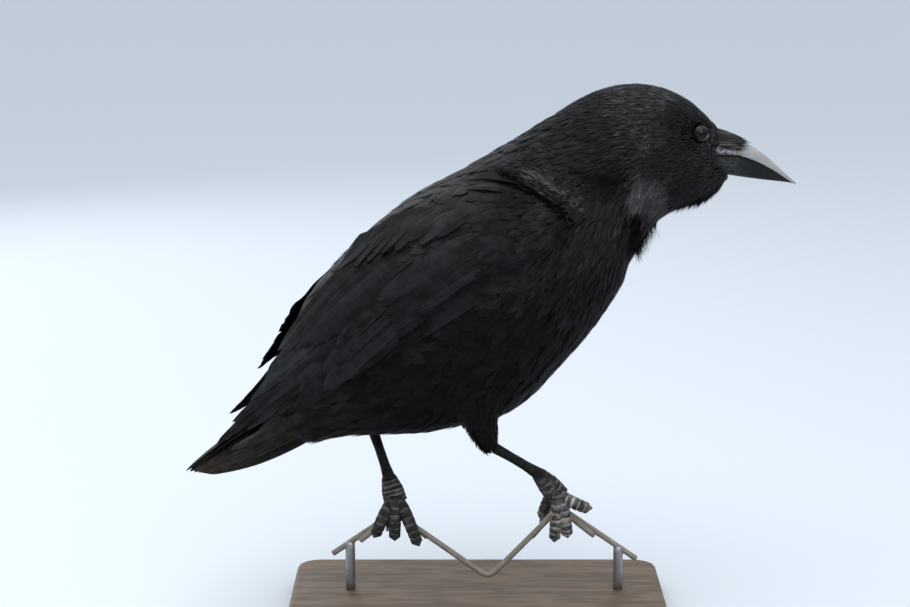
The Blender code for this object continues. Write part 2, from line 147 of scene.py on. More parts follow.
# %% A socket that does arithmetic
class Signal:
    """One shader socket, used like a number."""

    def __init__(self, tree, socket=None):
        self.tree, self.socket = tree, socket

    def node(self, kind, inputs=(), out=0, **settings):
        """Adds a node: settings first, then socket values or links."""
        made = self.tree.nodes.new("ShaderNode" + kind)
        for name, value in settings.items():
            setattr(made, name, value)
        for name, value in dict(inputs).items():
            if isinstance(value, Signal):
                self.tree.links.new(value.socket, made.inputs[name])
            else:
                made.inputs[name].default_value = value
        return Signal(self.tree, made.outputs[out])

    def math(self, operation, *values, clamp=False):
        return self.node("Math", enumerate(values), operation=operation, use_clamp=clamp)

    def __add__(self, other):
        return self.math("ADD", self, other)

    def __sub__(self, other):
        return self.math("SUBTRACT", self, other)

    def __rsub__(self, other):
        return self.math("SUBTRACT", other, self)

    def __mul__(self, other):
        return self.math("MULTIPLY", self, other)

    def __pow__(self, other):
        return self.math("POWER", self, other)

    __radd__, __rmul__ = __add__, __mul__

    def clamped(self):
        return self.math("ADD", self, 0.0, clamp=True)

    def between(self, low, high):
        """Rises smoothly from 0 at low to 1 at high."""
        return self.node("MapRange", {0: self, 1: low, 2: high},
                         interpolation_type="SMOOTHSTEP")

    def apply(self, operation):
        """One-input maths, such as SINE or ABSOLUTE."""
        return self.math(operation, self)

    def split(self):
        """The three parts of this vector."""
        parts = self.node("SeparateXYZ", {0: self}).socket.node.outputs
        return [Signal(self.tree, part) for part in parts]

    def vane(self):
        """The place stored on the mesh: across, along, and one value of its own."""
        return self.node("Attribute", out="Vector", attribute_name="vane")

    def tint(self):
        """The colour stored on the mesh."""
        return self.node("Attribute", out="Color", attribute_name="tint")

    def spot(self):
        """The place on the object."""
        return self.node("TexCoord", out="Object")

    def blend(self, first, second):
        """Mixes two colours by this signal."""
        return self.node("Mix", {0: self, 6: first, 7: second}, out=2, data_type="RGBA")

    def stretched(self, scale):
        """A vector multiplied part by part."""
        return self.node("VectorMath", {0: self, 1: scale}, operation="MULTIPLY")

    def noise(self, scale, detail=3.0, roughness=0.5):
        return self.node("TexNoise", {"Vector": self, "Scale": scale, "Detail": detail,
                                      "Roughness": roughness})

    def bump(self, height, distance, strength=1.0):
        return self.node("Bump", {"Height": height, "Distance": distance,
                                  "Strength": strength})


def finish_material(name, build, **fixed):
    """A Principled surface: build links what varies, fixed sets what does not."""
    made = bpy.data.materials.new(name)
    made.use_nodes = True
    tree = made.node_tree
    shader = tree.nodes["Principled BSDF"]
    for socket, value in fixed.items():
        shader.inputs[socket.replace("_", " ")].default_value = value
    for socket, value in build(Signal(tree)).items():
        tree.links.new(value.socket, shader.inputs[socket])
    return made


print("signals ready")

# %% [markdown]
# ## Mesh from arrays
# A coat has far too many corners to make one at a time. NumPy works out all the corners
# and faces as arrays and hands them to the mesh in one go, together with the values the
# materials read: a tint, a place along and across the vane, and the bake map.


# %% Mesh helper
def linked(name, mesh, material, vanes=None, tints=None):
    """An object in the scene for a mesh, with the values that its material reads."""
    for label, kind, field, values in (("tint", "FLOAT_COLOR", "color", tints),
                                       ("vane", "FLOAT_VECTOR", "vector", vanes)):
        if values is not None:
            layer = mesh.attributes.new(label, kind, "POINT")
            layer.data.foreach_set(field, np.asarray(values, np.float32).ravel())
    mesh.polygons.foreach_set("use_smooth", np.ones(len(mesh.polygons), bool))
    mesh.materials.append(material)
    made = bpy.data.objects.new(name, mesh)
    bpy.context.collection.objects.link(made)
    return made


def mesh_piece(name, verts, faces, material, tints, bake, vanes=None):
    """A coat piece from corner and four-sided face arrays, with its bake map."""
    verts = np.asarray(verts, np.float32).reshape(-1, 3)
    faces = np.asarray(faces, np.int32)
    mesh = bpy.data.meshes.new(name)
    mesh.vertices.add(len(verts))
    mesh.vertices.foreach_set("co", verts.ravel())
    mesh.loops.add(faces.size)
    mesh.loops.foreach_set("vertex_index", faces.ravel())
    mesh.polygons.add(len(faces))
    mesh.polygons.foreach_set("loop_start", np.arange(0, faces.size, 4, dtype=np.int32))
    mesh.update(calc_edges=True)
    layer = mesh.uv_layers.new(name="OFBake")
    layer.data.foreach_set("uv", np.asarray(bake, np.float32)[faces.ravel()].ravel())
    return linked(name, mesh, material, vanes, tints)


def plain_mesh(name, verts, faces, material, vanes=None):
    """A mesh with mixed faces turned outward, for the bare parts."""
    mesh = bpy.data.meshes.new(name)
    mesh.from_pydata(np.asarray(verts, float).tolist(), [], faces)
    made = linked(name, mesh, material, vanes)
    bm = bmesh.new()
    bm.from_mesh(mesh)
    bmesh.ops.recalc_face_normals(bm, faces=bm.faces)
    bm.to_mesh(mesh)
    bm.free()
    return made


def place(piece, slot, *nodes):
    """Rides the piece on the bird's one body and hides the nodes it stands in for."""
    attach(piece, "root")
    if nodes:
        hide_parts(*nodes)


def eased(rows, at):
    """A smooth curve through the rows of a table, read at fractional rows."""
    rows = np.asarray(rows, float)
    at = np.asarray(at, float)
    last = len(rows) - 1
    low = np.clip(at.astype(int), 0, last - 1)
    t = (at - low)[..., None]
    a, b, c, d = (rows[np.clip(low + k, 0, last)] for k in (-1, 0, 1, 2))
    return 0.5 * (2 * b + (c - a) * t + (2 * a - 5 * b + 4 * c - d) * t ** 2
                  + (3 * b - a - 3 * c + d) * t ** 3)


def unit(vectors):
    return vectors / np.maximum(np.linalg.norm(vectors, axis=-1, keepdims=True), 1e-12)


def spokes(turn, first, second):
    """Directions at each turn of the circle that two directions span."""
    return np.cos(turn)[:, None] * first + np.sin(turn)[:, None] * second


SIDES = (("right", -1), ("left", 1))
rng = np.random.default_rng(412)
print("helpers ready")

# %% [markdown]
# ## Where the feathers lie
# A feather chart names patches of the bird. Each row gives a place (ahead, out from the
# middle, up), the way its feathers point (ahead, outward, up), and their length, width,
# spacing and lift above the skin, in millimetres. Point is 0 for a round tip and 1 for
# a hackle. The last two numbers are how pale and how brown the plumage is there. The
# paleness is partly worn plumage and partly painted light: the top of the head is painted
# lighter, the undersides darker, and the patches in folds, hollows and round the eye
# hold painted shade. Between the rows everything blends, so no patch has an edge.

# %% The feather chart
CHART = {
    #                 place             lie                 long wide gap lift point shade brown
    # Forehead and crown are painted lighter in part: painted light on the top of the head.
    "forehead":      ((150, 0, 352), (-.86, .10, .40), (6.5, .85, .90, .9, .9), 1.10, .15),
    "lore":          ((155, 12, 331), (-.80, .10, .25), (4.0, .70, .80, .6, .9), 1.10, .14),
    "brow":          ((146, 13, 347), (-.95, .10, .22), (5.5, .75, .85, .7, .9), .50, .10),
    "crown":         ((125, 8, 366), (-1.0, .05, .02), (9.0, .95, .98, 1.0, .9), 1.12, .18),
    "hind_crown":    ((104, 14, 364), (-1.0, .05, -.12), (10, 1.1, 1.1, 1.1, .9), .84, .15),
    # eye_shadow and behind_eye are painted shade in the recess round the eye, under the brow.
    "eye_shadow":    ((138, 14, 343), (-.98, .08, .12), (6.5, .80, .90, .8, .9), .13, .10),
    "behind_eye":    ((138, 18, 332), (-1.0, .05, -.02), (6.5, .80, .90, .8, .9), .18, .10),
    "cheek":         ((136, 20, 323), (-1.0, .05, -.06), (7.0, .85, .95, .8, .9), .36, .10),
    "ear_edge":      ((114, 24, 334), (-1.0, .10, -.10), (6.5, 1.0, 1.1, 1.5, .9), 0.95, .20),
    # ear_hollow is painted shade in the hollow beside the ear edge.
    "ear_hollow":    ((120, 23, 319), (-1.0, .05, -.15), (7.5, .95, 1.0, .7, .9), .23, .10),
    "ear_coverts":   ((119, 22, 330), (-1.0, .05, -.18), (8.5, .95, 1.0, 1.0, .9), .46, .10),
    "chin":          ((160, 4, 306), (-.92, .05, -.40), (7.0, .90, 1.1, .9, 1.0), .36, .15),
    "jaw":           ((140, 15, 300), (-.95, .10, -.30), (8.0, 1.0, 1.1, .9, .9), .19, .20),
    "throat":        ((132, 4, 283), (-.82, .05, -.56), (10, 1.2, 1.4, 1.2, 1.0), .40, .20),
    # neck_side's pale tone is mostly a painted sheen of light on the ruffled feathers.
    "neck_side":     ((115, 25, 298), (-.60, .05, -.78), (11, 1.1, 1.3, 1.5, 1.0), 2.5, .16),
    "throat_edge":   ((119, 16, 287), (-.66, .05, -.74), (10, 1.2, 1.4, 1.4, 1.0), 1.3, .20),
    # neck_fold is painted shade in the crease of the neck.
    "neck_fold":     ((93, 28, 310), (-.88, .05, -.46), (10, 1.3, 1.4, 1.0, .9), .18, .15),
    "ruff_low":      ((88, 32, 286), (-.62, .05, -.78), (12, 1.3, 1.5, 1.3, .9), .82, .14),
    # neck_hollow and hollow_top are painted shade in the throat hollow.
    "neck_hollow":   ((107, 17, 274), (-.25, .05, -.96), (11, 1.1, 1.5, 1.0, 1.0), .04, .20),
    "hollow_top":    ((103, 22, 284), (-.30, .05, -.95), (10, 1.1, 1.4, .9, 1.0), .05, .10),
    "nape":          ((80, 14, 362), (-.95, .05, -.30), (12, 1.4, 1.40, 1.3, .9), .64, .12),
    "neck_back":     ((88, 33, 325), (-.92, .05, -.38), (12, 1.4, 1.40, 1.3, .9), .52, .16),
    "hind_neck":     ((52, 20, 344), (-.90, .05, -.42), (15, 3.0, 2.3, 1.6, .6), .43, .12),
    "neck_front":    ((110, 6, 266), (-.38, .05, -.92), (16, 1.9, 2.0, 1.6, 1.0), .36, .20),
    "upper_breast":  ((97, 14, 240), (-.30, .05, -.95), (15, 2.4, 2.1, 1.5, .9), .30, .16),
    "breast_side":   ((72, 42, 246), (-.58, .00, -.82), (16, 2.4, 2.2, 1.7, .9), .30, .18),
    "side_breast":   ((64, 43, 270), (-.62, .00, -.78), (14, 2.2, 2.0, 1.7, .9), .56, .18),
    "shoulder":      ((64, 41, 300), (-.85, .00, -.52), (14, 2.8, 2.2, 1.6, .7), .44, .20),
    "breast":        ((80, 12, 205), (-.50, .05, -.86), (20, 5.2, 3.5, 1.7, .5), .27, .12),
    "lower_side":    ((40, 46, 205), (-.78, .00, -.62), (22, 6.5, 4.0, 1.7, .3), .27, .10),
    "belly_front":   ((50, 14, 163), (-.78, .05, -.62), (21, 7.0, 4.2, 2.0, .4), .25, .18),
    "mantle":        ((18, 12, 326), (-.90, .10, -.42), (19, 6.8, 4.1, 1.7, .25), .30, .14),
    "scapular":      ((-8, 38, 302), (-.88, .22, -.44), (20, 8.5, 4.6, 1.8, .1), .37, .20),
    "low_scapular":  ((-42, 34, 280), (-.82, .20, -.55), (21, 8.5, 4.6, 1.8, .1), .39, .28),
    "back":          ((-25, 5, 303), (-.86, .10, -.50), (24, 9.0, 4.9, 2.0, .2), .33, .10),
    "lower_back":    ((-72, 4, 262), (-.76, .05, -.65), (25, 9.0, 4.9, 1.8, .2), .55, .10),
    "rump":          ((-115, 4, 210), (-.70, .05, -.71), (24, 8.0, 4.6, 1.6, .3), .48, .15),
    "wing_bend":     ((48, 50, 286), (-.86, .10, -.46), (14, 4.6, 2.6, 1.0, .3), .52, .06),
    "wing_shadow":   ((38, 41, 301), (-.86, .10, -.46), (12, 3.6, 2.4, .7, .4), .14, .05),
    "fold_shadow":   ((55, 46, 287), (-.86, .10, -.46), (12, 3.6, 2.4, .7, .4), .18, .05),
    "small_coverts": ((18, 57, 270), (-.88, .05, -.46), (18, 6.2, 3.3, 1.1, .2), .36, .04),
    "wing_coverts":  ((-25, 58, 252), (-.85, .05, -.52), (22, 9.0, 4.8, 1.5, .05), .45, .06),
    # These coverts are painted lighter: a painted highlight where they catch the light.
    "pale_coverts":  ((-33, 55, 265), (-.85, .05, -.52), (20, 8.0, 4.2, 1.4, .1), .72, .06),
    "low_wing":      ((-38, 57, 229), (-.82, .00, -.56), (22, 9.0, 4.8, 1.3, .0), .22, .06),
    "under_quills":  ((-70, 54, 225), (-.80, .00, -.60), (20, 10, 7.0, .9, .0), .40, .06),
    "quill_bed":     ((-104, 30, 205), (-.75, .00, -.66), (17, 9.0, 7.0, .8, .0), .40, .06),
    "flank":         ((5, 55, 205), (-.86, .00, -.50), (23, 8.0, 4.7, 1.7, .3), .25, .08),
    "rear_flank":    ((-50, 46, 168), (-.92, .00, -.38), (22, 7.5, 4.6, 1.5, .4), .27, .22),
    "belly":         ((-5, 10, 140), (-.95, .05, -.28), (22, 7.0, 4.4, 1.8, .5), .27, .22),
    "vent":          ((-80, 12, 129), (-.95, .05, -.26), (23, 6.5, 4.2, 1.9, .5), .34, .35),
    "vent_side":     ((-88, 36, 150), (-.93, .00, -.36), (21, 6.5, 4.0, 1.3, .5), .46, .45),
    "undertail":     ((-132, 8, 120), (-.94, .05, -.33), (20, 5.4, 3.6, 1.1, .5), .62, .62),
    "tail_under":    ((-152, 8, 117), (-.92, .02, -.38), (17, 4.6, 3.4, .5, .5), .60, .62),
    "uppertail":     ((-140, 8, 156), (-.80, .05, -.60), (22, 8.0, 5.0, 1.2, .2), .50, .25),
    "thigh_right":   ((2, 34, 140), (.04, .05, -1.0), (10, 3.0, 2.3, 1.4, .6), .26, .25),
    "thigh_left":    ((-66, 32, 144), (-.10, .05, -1.0), (10, 3.0, 2.3, 1.4, .6), .26, .25),
}
chart_place = np.array([row[0] for row in CHART.values()]) * MM
chart_lie = unit(np.array([row[1] for row in CHART.values()], float))
chart_size = np.array([row[2] for row in CHART.values()])
chart_shade = np.array([row[3:] for row in CHART.values()])
print(len(CHART), "patches in the chart")


# %% Reading the chart anywhere
BLACK = np.array((0.0118, 0.0121, 0.0134))
WORN = np.array((0.0235, 0.0180, 0.0140))


def chart_at(points):
    """Lie, sizes, tint and leading patch for each point on the bird."""
    points = np.atleast_2d(points)
    mirrored = points * np.where([False, True, False], np.sign(points[:, 1:2]) + 1e-9, 1)
    apart = np.linalg.norm(mirrored[:, None] - chart_place[None], axis=2)
    apart[points[:, 1] > 0.004, list(CHART).index("thigh_right")] += 0.2
    apart[points[:, 1] < -0.004, list(CHART).index("thigh_left")] += 0.2
    weight = 1.0 / (apart ** 2 + 0.004 ** 2) ** 2.6
    weight /= weight.sum(1, keepdims=True)
    lie = weight @ chart_lie
    lie[:, 1] *= np.sign(points[:, 1])
    sizes = weight @ chart_size
    shade, brown = (weight @ chart_shade).T
    tint = (BLACK * (1 - brown[:, None]) + WORN * brown[:, None]) * shade[:, None]
    return unit(lie), sizes, tint, apart.argmin(1)


print("crown feathers lie", chart_at([[0.125, 0.0, 0.366]])[0].round(2)[0])

# %% [markdown]
# ## One skin under the coat
# The solid comes in parts with hair-wide gaps. The parts of flesh are copied, swollen a
# touch so that they overlap, and remeshed into one closed surface with no seam. The
# skin is then drawn in by the depth of the plumage, so that the feather tips, not the
# skin, reach the solid's outline. The thin ends of wing and tail are only quills, so
# the skin stops short of them.

# %% Copy, swell and join the flesh
FLESH = ("head", "neck", "trunk", "wing_left", "wing_right", "tail", "thigh_left",
         "thigh_right")
QUILLS_ONLY = {"wing_left": -0.125, "wing_right": -0.125, "tail": -0.158}


def flesh_mesh(name, swell, cut_short):
    """A welded copy of one part, cut short where there is no flesh."""
    bm = bmesh.new()
    bm.from_mesh(frame["nodes"][name].data)
    bmesh.ops.remove_doubles(bm, verts=bm.verts, dist=1e-6)
    bmesh.ops.recalc_face_normals(bm, faces=bm.faces)
    if cut_short and name in QUILLS_ONLY:
        cut = bmesh.ops.bisect_plane(bm, geom=bm.verts[:] + bm.edges[:] + bm.faces[:],
                                     plane_co=(QUILLS_ONLY[name], 0, 0),
                                     plane_no=(-1, 0, 0), clear_outer=True)
        edges = [e for e in cut["geom_cut"] if isinstance(e, bmesh.types.BMEdge)]
        bmesh.ops.holes_fill(bm, edges=edges)
        bmesh.ops.recalc_face_normals(bm, faces=bm.faces)
    bm.normal_update()
    for vert in bm.verts:
        vert.co += vert.normal * swell
    return bm


def one_surface(cut_short, swell, grain, softness):
    """Corners, normals and faces of all the flesh as one smooth closed surface."""
    joined = bpy.data.meshes.new("flesh")
    whole = bmesh.new()
    for name in FLESH:
        part = flesh_mesh(name, swell, cut_short)
        loose = bpy.data.meshes.new(name + "_copy")
        part.to_mesh(loose)
        whole.from_mesh(loose)
        part.free()
        bpy.data.meshes.remove(loose)
    whole.to_mesh(joined)
    whole.free()
    flesh = bpy.data.objects.new("flesh", joined)
    bpy.context.collection.objects.link(flesh)
    remesh = flesh.modifiers.new("one surface", "REMESH")
    remesh.mode, remesh.voxel_size = "VOXEL", grain
    soften = flesh.modifiers.new("soften", "SMOOTH")
    soften.factor, soften.iterations = 0.5, softness
    made = bpy.data.meshes.new_from_object(
        flesh.evaluated_get(bpy.context.evaluated_depsgraph_get()))
    bpy.data.objects.remove(flesh)
    points, normals = (np.empty(len(made.vertices) * 3) for _ in range(2))
    made.vertices.foreach_get("co", points)
    made.vertices.foreach_get("normal", normals)
    faces = np.array([p.vertices[:] for p in made.polygons])
    return points.reshape(-1, 3), normals.reshape(-1, 3), faces


outer_points, outer_normals, skin_faces = one_surface(True, 0.0007, 0.0021, 12)
count = len(outer_points)
print("skin has", count, "corners and", len(skin_faces), "faces")

# %% Draw the skin in under the coat
EYE = np.array((0.1472, 0.0124, 0.3366))
EYE_RADIUS = 0.0062
EYE_AXIS = unit(np.array((0.22, 1.0, 0.06)))


def from_eye(points):
    """Distance off the axis of the nearer eye, and height along that axis."""
    from_centre = np.stack([points[:, 0], np.abs(points[:, 1]), points[:, 2]], axis=1) - EYE
    height = from_centre @ EYE_AXIS
    return np.linalg.norm(from_centre - height[:, None] * EYE_AXIS, axis=1), height


FOLDS = {
    # name: (line ahead and up, least distance out, swell above, hollow below, width)
    "mantle over wing bend": ([(10, 313), (24, 311), (38, 306), (50, 299), (63, 291)],
                              16, 3.0, 3.4, 4.0),
    "neck crease": ([(60, 318), (76, 311), (98, 308)], 16, 1.2, 1.8, 3.6),
    "throat hollow": ([(112, 294), (108, 284), (102, 271)], 10, 0.8, 2.6, 5.0),
    "scapular edge": ([(-21, 277), (-41, 270), (-58, 264), (-70, 254)], 14, 1.3, 0.8, 3.0),
}
FOLD_STEPS = 60


def fold_height(points, row, out_from, swell, hollow, wide):
    """Height to add beside a fold: a swelling above its line and a hollow below."""
    line = eased(np.array(row, float), np.linspace(0, len(row) - 1, FOLD_STEPS)) * MM
    apart = points[:, None, (0, 2)] - line[None]
    near = (apart ** 2).sum(2).argmin(1)
    gap = apart[np.arange(len(points)), near]
    ahead = unit(np.gradient(line, axis=0))[near]
    above = ahead[:, 0] * gap[:, 1] - ahead[:, 1] * gap[:, 0]
    above *= np.sign(line[-1, 0] - line[0, 0] + 1e-9)
    length = np.linalg.norm(gap, axis=1)
    beyond = np.sqrt(np.maximum(length ** 2 - above ** 2, 0))
    taper = np.exp(-(beyond / 0.006) ** 2) * np.clip(
        np.minimum(near, FOLD_STEPS - 1 - near) / 9.0, 0.15, 1)
    taper *= np.clip((np.abs(points[:, 1]) - out_from * MM) / 0.008, 0, 1)
    up = np.where(above > 0, swell * np.exp(-((above - 0.4 * wide * MM) / (wide * MM)) ** 2),
                  -hollow * np.exp(-((above + 0.6 * wide * MM) / (wide * MM)) ** 2))
    return up * taper * MM


def gape_edge(up):
    """How far ahead the feathered face ends at a height: further ahead lower down."""
    return 0.1560 + np.clip(0.3192 - up, 0, 1) * 1.1


DRAWN_IN, DRAWN_MORE = 0.92, 0.0002
SOCKET_WIDE, SOCKET_FADE, SOCKET_DEEP = 0.0042, 0.0030, 0.0011
lift = chart_at(outer_points)[1][:, 3] * MM
radial, high = from_eye(outer_points)
socket = np.clip(1 - (radial - SOCKET_WIDE) / SOCKET_FADE, 0, 1) * (high > -0.002)
mirrored = np.sign(outer_points[:, 1:2] + 1e-9) ** np.array((0, 1, 0))
skin_points = outer_points - outer_normals * (lift * DRAWN_IN + DRAWN_MORE)[:, None]
skin_points -= socket[:, None] * SOCKET_DEEP * EYE_AXIS * mirrored
for name, (row, out_from, lift_mm, sink_mm, wide) in FOLDS.items():
    skin_points += outer_normals * fold_height(outer_points, row, out_from, lift_mm,
                                               sink_mm, wide)[:, None]
    print("fold:", name)
# The skin narrows where horn takes over at the gape, and where quills do at the tail.
gape = np.clip((outer_points[:, 0] - gape_edge(outer_points[:, 2]) + 0.002) / 0.004, 0, 1)
gape = gape * np.clip((0.3300 - outer_points[:, 2]) / 0.004, 0, 1)
gape = gape * np.clip((outer_points[:, 2] - 0.3020) / 0.006, 0, 1)
skin_points[:, 1] *= 1 - 0.42 * gape
TAIL_FROM, TAIL_SPAN = 0.118, 0.040
slim = np.clip((-TAIL_FROM - skin_points[:, 0]) / TAIL_SPAN, 0, 1)
tail_middle = np.interp(-skin_points[:, 0], (TAIL_FROM, 0.158), (0.138, 0.1200))
skin_points[:, 1] *= 1 - 0.62 * slim
skin_points[:, 2] += (tail_middle - skin_points[:, 2]) * 0.6 * slim
print("coat depth runs", (lift.min() / MM).round(2), "to", (lift.max() / MM).round(2), "mm")

# %% [markdown]
# ## An unwrap of the bird
# So that the finish of a feather can be baked to a picture, each feather gets a
# small patch of its own, placed where its root sits on an unwrap of the skin. The
# unwrap used here is the simplest for a long round body: one direction runs along the
# spine from bill to tail, the other goes round it.

# %% Spine unwrap
SPINE = np.array([(172, 322), (150, 325), (125, 325), (105, 312), (86, 300), (65, 285),
                  (35, 262), (5, 238), (-30, 215), (-65, 190), (-95, 165), (-125, 145),
                  (-160, 125), (-203, 100)]) * MM
spine_line = eased(SPINE, np.linspace(0, len(SPINE) - 1, 240))
spine_reach = np.concatenate([[0], np.cumsum(
    np.linalg.norm(np.diff(spine_line, axis=0), axis=1))])
spine_ahead = unit(np.gradient(spine_line, axis=0))
USED, BORDER, CHUNK = 0.98, 0.01, 20000


def unwrap(points):
    """Place of each point on the unwrap: round the body, and along the spine."""
    flat = points[:, (0, 2)]
    nearest = np.empty(len(points), int)
    for start in range(0, len(points), CHUNK):
        apart = ((flat[start:start + CHUNK, None] - spine_line[None]) ** 2).sum(2)
        nearest[start:start + CHUNK] = apart.argmin(1)
    ahead = spine_ahead[nearest]
    beside = flat - spine_line[nearest]
    above = beside[:, 1] * -ahead[:, 0] + beside[:, 0] * ahead[:, 1]
    around = np.arctan2(points[:, 1], above) / (2 * math.pi) + 0.5
    return np.stack([around, spine_reach[nearest] / spine_reach[-1]], axis=1) * USED + BORDER


DOWN_SHADE = 0.75
skin_tint = np.hstack([chart_at(outer_points)[2] * DOWN_SHADE, np.ones((count, 1))])
print("the spine is", round(spine_reach[-1] / MM), "mm long")


# %% Plumage finishes
def plumage(rim_pale, streak, barb, contrast=1.0, painted_root_shade=0.0, mottled=0.35):
    """Feather surface: tint from the chart, streaks along the barbs, soft gloss.

    The root half can be darkened by the given amount: painted shadow where it lies under the
    feather above."""
    def build(base):
        tint = base.tint()
        vane = base.vane()
        across, along, own = vane.split()
        edge = across.apply("ABSOLUTE")
        barbs = vane.stretched((3.2, 0.9, 37.0)).noise(streak, 3.0, 0.6)
        pale_edge = Signal(base.tree, tint.socket.node.outputs["Alpha"])
        rim = ((edge ** 6.0) * rim_pale + (along ** 9.0) * 0.30) * pale_edge
        value = 0.50 + ((barbs - 0.5) * 1.7 + (own - 0.5) * 0.50 + rim) * contrast
        cloud = base.spot().noise(125.0, 4.0, 0.62)
        value = value + (cloud - 0.5) * (2.0 * mottled)
        # Painted shadow on the root half, under the feather above.
        if painted_root_shade:
            value = value - (1 - along.between(0.0, 0.55)) * painted_root_shade
        dark = tint.stretched((0.30, 0.30, 0.31))
        pale = tint.stretched((2.5, 2.5, 2.55))
        colour = value.clamped().blend(dark, pale)
        fine = ((along + edge * 0.45) * barb).apply("SINE")
        rough = 0.52 + (barbs - 0.5) * 0.35
        return {"Base Color": colour, "Roughness": rough.clamped(),
                "Normal": base.bump(barbs * 0.8 + fine * 0.2, 0.0003, 0.55)}
    return build


def sheen(weight, tint, roughness=0.45):
    """Shader values for a faint coloured bloom."""
    return {"Sheen_Weight": weight, "Sheen_Roughness": roughness, "Sheen_Tint": (*tint, 1)}


body_finish = finish_material("body plumage", plumage(0.3, 5.0, 70.0),
                              Specular_IOR_Level=0.10, **sheen(0.006, (0.55, 0.62, 0.78)))
under_finish = finish_material("underside plumage", plumage(0.3, 5.0, 70.0, 0.55),
                               Specular_IOR_Level=0.04)
neck_finish = finish_material("neck plumage", plumage(0.3, 4.0, 36.0, 0.85),
                              Specular_IOR_Level=0.07, **sheen(0.004, (0.62, 0.66, 0.74)))
head_finish = finish_material("head plumage", plumage(0.3, 3.0, 18.0),
                              Specular_IOR_Level=0.18, **sheen(0.012, (0.62, 0.66, 0.74)))
quill_finish = finish_material("quill plumage", plumage(0.9, 6.5, 150.0, 1.1, painted_root_shade=0.40,
                                                        mottled=1.15),
                               Specular_IOR_Level=0.10,
                               **sheen(0.006, (0.60, 0.65, 0.78), 0.40))


def down_colours(base):
    """Dark down between the feathers, seen only in gaps."""
    tint = base.tint()
    fluff = base.spot().noise(420.0, 4.0)
    colour = fluff.clamped().blend(tint.stretched((0.35, 0.35, 0.36)), tint)
    return {"Base Color": colour, "Roughness": 0.75 + fluff * 0.2,
            "Normal": base.bump(fluff, 0.0008, 0.7)}


skin_finish = finish_material("down and skin", down_colours, Specular_IOR_Level=0.05)
skin = mesh_piece("skin", skin_points, skin_faces, skin_finish, skin_tint,
                  unwrap(skin_points))
place(skin, "feather", *FLESH)
print("skin made of", len(skin_faces), "faces")

# %% [markdown]
# ## How one feather is built
# A feather is a thin curved sheet: a middle line that walks over the skin and rises from
# it, a width that swells and closes towards the tip, and a slight arch across. The far
# corners are shifted a little so the edge looks frayed. One function lays any number of
# feathers at once, each with its own tint and its own bake patch.

# %% Walking over a surface
surface_tree = BVHTree.FromPolygons([Vector(p) for p in skin_points.tolist()],
                                    skin_faces.tolist())
corner_normals = np.empty(count * 3)
skin.data.vertices.foreach_get("normal", corner_normals)
corner_normals = corner_normals.reshape(-1, 3)
face_normals = unit(corner_normals[skin_faces].mean(axis=1))


def walk(roots, lies, lengths, steps, tree=surface_tree, normals=face_normals):
    """Middle lines over the skin: points and surface normals, step by step."""
    line = np.empty((len(roots), steps, 3))
    normal = np.empty((len(roots), steps, 3))
    for k in range(len(roots)):
        at = Vector(roots[k])
        heading = Vector(lies[k])
        stride = float(lengths[k]) / (steps - 1)
        for step in range(steps):
            hit, _, face, _ = tree.find_nearest(at)
            out = Vector(normals[face])
            heading = heading - out * heading.dot(out)
            heading.normalize()
            line[k, step], normal[k, step] = hit, out
            at = hit + heading * stride
    return line, normal


# %% Laying vanes
ROOT_BELOW, SWEPT_BACK = 0.0004, 0.30


def vane_width(along, point):
    """Half width from root to tip: swells, then closes round or to a point."""
    swell = np.sin(np.clip(along / 0.62, 0, 1) * math.pi / 2) ** 0.7
    close = np.clip((along - 0.55) / 0.45, 0, 1)
    rounded = np.sqrt(np.clip(1 - close ** 2.6, 0.0, 1))
    pointed = 1 - close ** 1.15
    return swell * (rounded * (1 - point) + pointed * point) + 0.06


def vanes(line, normal, half, rise, point, columns, cup=0.14, fray=0.05, skew=None,
          rise_shape=None):
    """Corner positions of a set of feathers, as an array [feather, row, column]."""
    feathers, rows, _ = line.shape
    along = np.linspace(0, 1, rows) ** 0.85
    along_row = np.linspace(0, 1, rows)
    ahead = unit(np.gradient(line, axis=1))
    side = unit(np.cross(normal, ahead))
    across = np.linspace(-1, 1, columns + 1)
    width = half[:, None] * vane_width(along_row[None], point[:, None])
    climb = 1 - (1 - along_row) ** 2 if rise_shape is None else rise_shape
    height = rise[:, None] * climb[None] - ROOT_BELOW * (1 - along_row)[None]
    length = np.linalg.norm(np.diff(line, axis=1), axis=2).sum(1)
    offset = across[None, None] * width[..., None]
    if skew is not None:
        offset = offset * np.where(across < 0, 1 - skew, 1 + skew)[None, None]
    arch = -cup * across[None, None] ** 2 * width[..., None]
    ragged = rng.uniform(-1.0, 0.35, (feathers, rows, columns + 1))
    ragged *= (fray * length)[:, None, None] * np.clip(along_row - 0.55, 0, 1)[None, :, None] * 2
    swept = -np.abs(across)[None, None] * width[..., None] * SWEPT_BACK * along[None, :, None]
    return (line[:, :, None] + side[:, :, None] * offset[..., None]
            + normal[:, :, None] * (height[..., None] + arch)[..., None]
            + ahead[:, :, None] * (ragged + swept)[..., None])


def grid_faces(feathers, rows, columns):
    """Four-sided faces for feathers of rows by columns corners."""
    row, column = np.meshgrid(np.arange(rows - 1), np.arange(columns - 1), indexing="ij")
    first = (row * columns + column).ravel()
    cell = np.stack([first, first + columns, first + columns + 1, first + 1], axis=1)
    starts = np.arange(feathers) * rows * columns
    return (starts[:, None, None] + cell[None]).reshape(-1, 4)


PATCH = 0.003


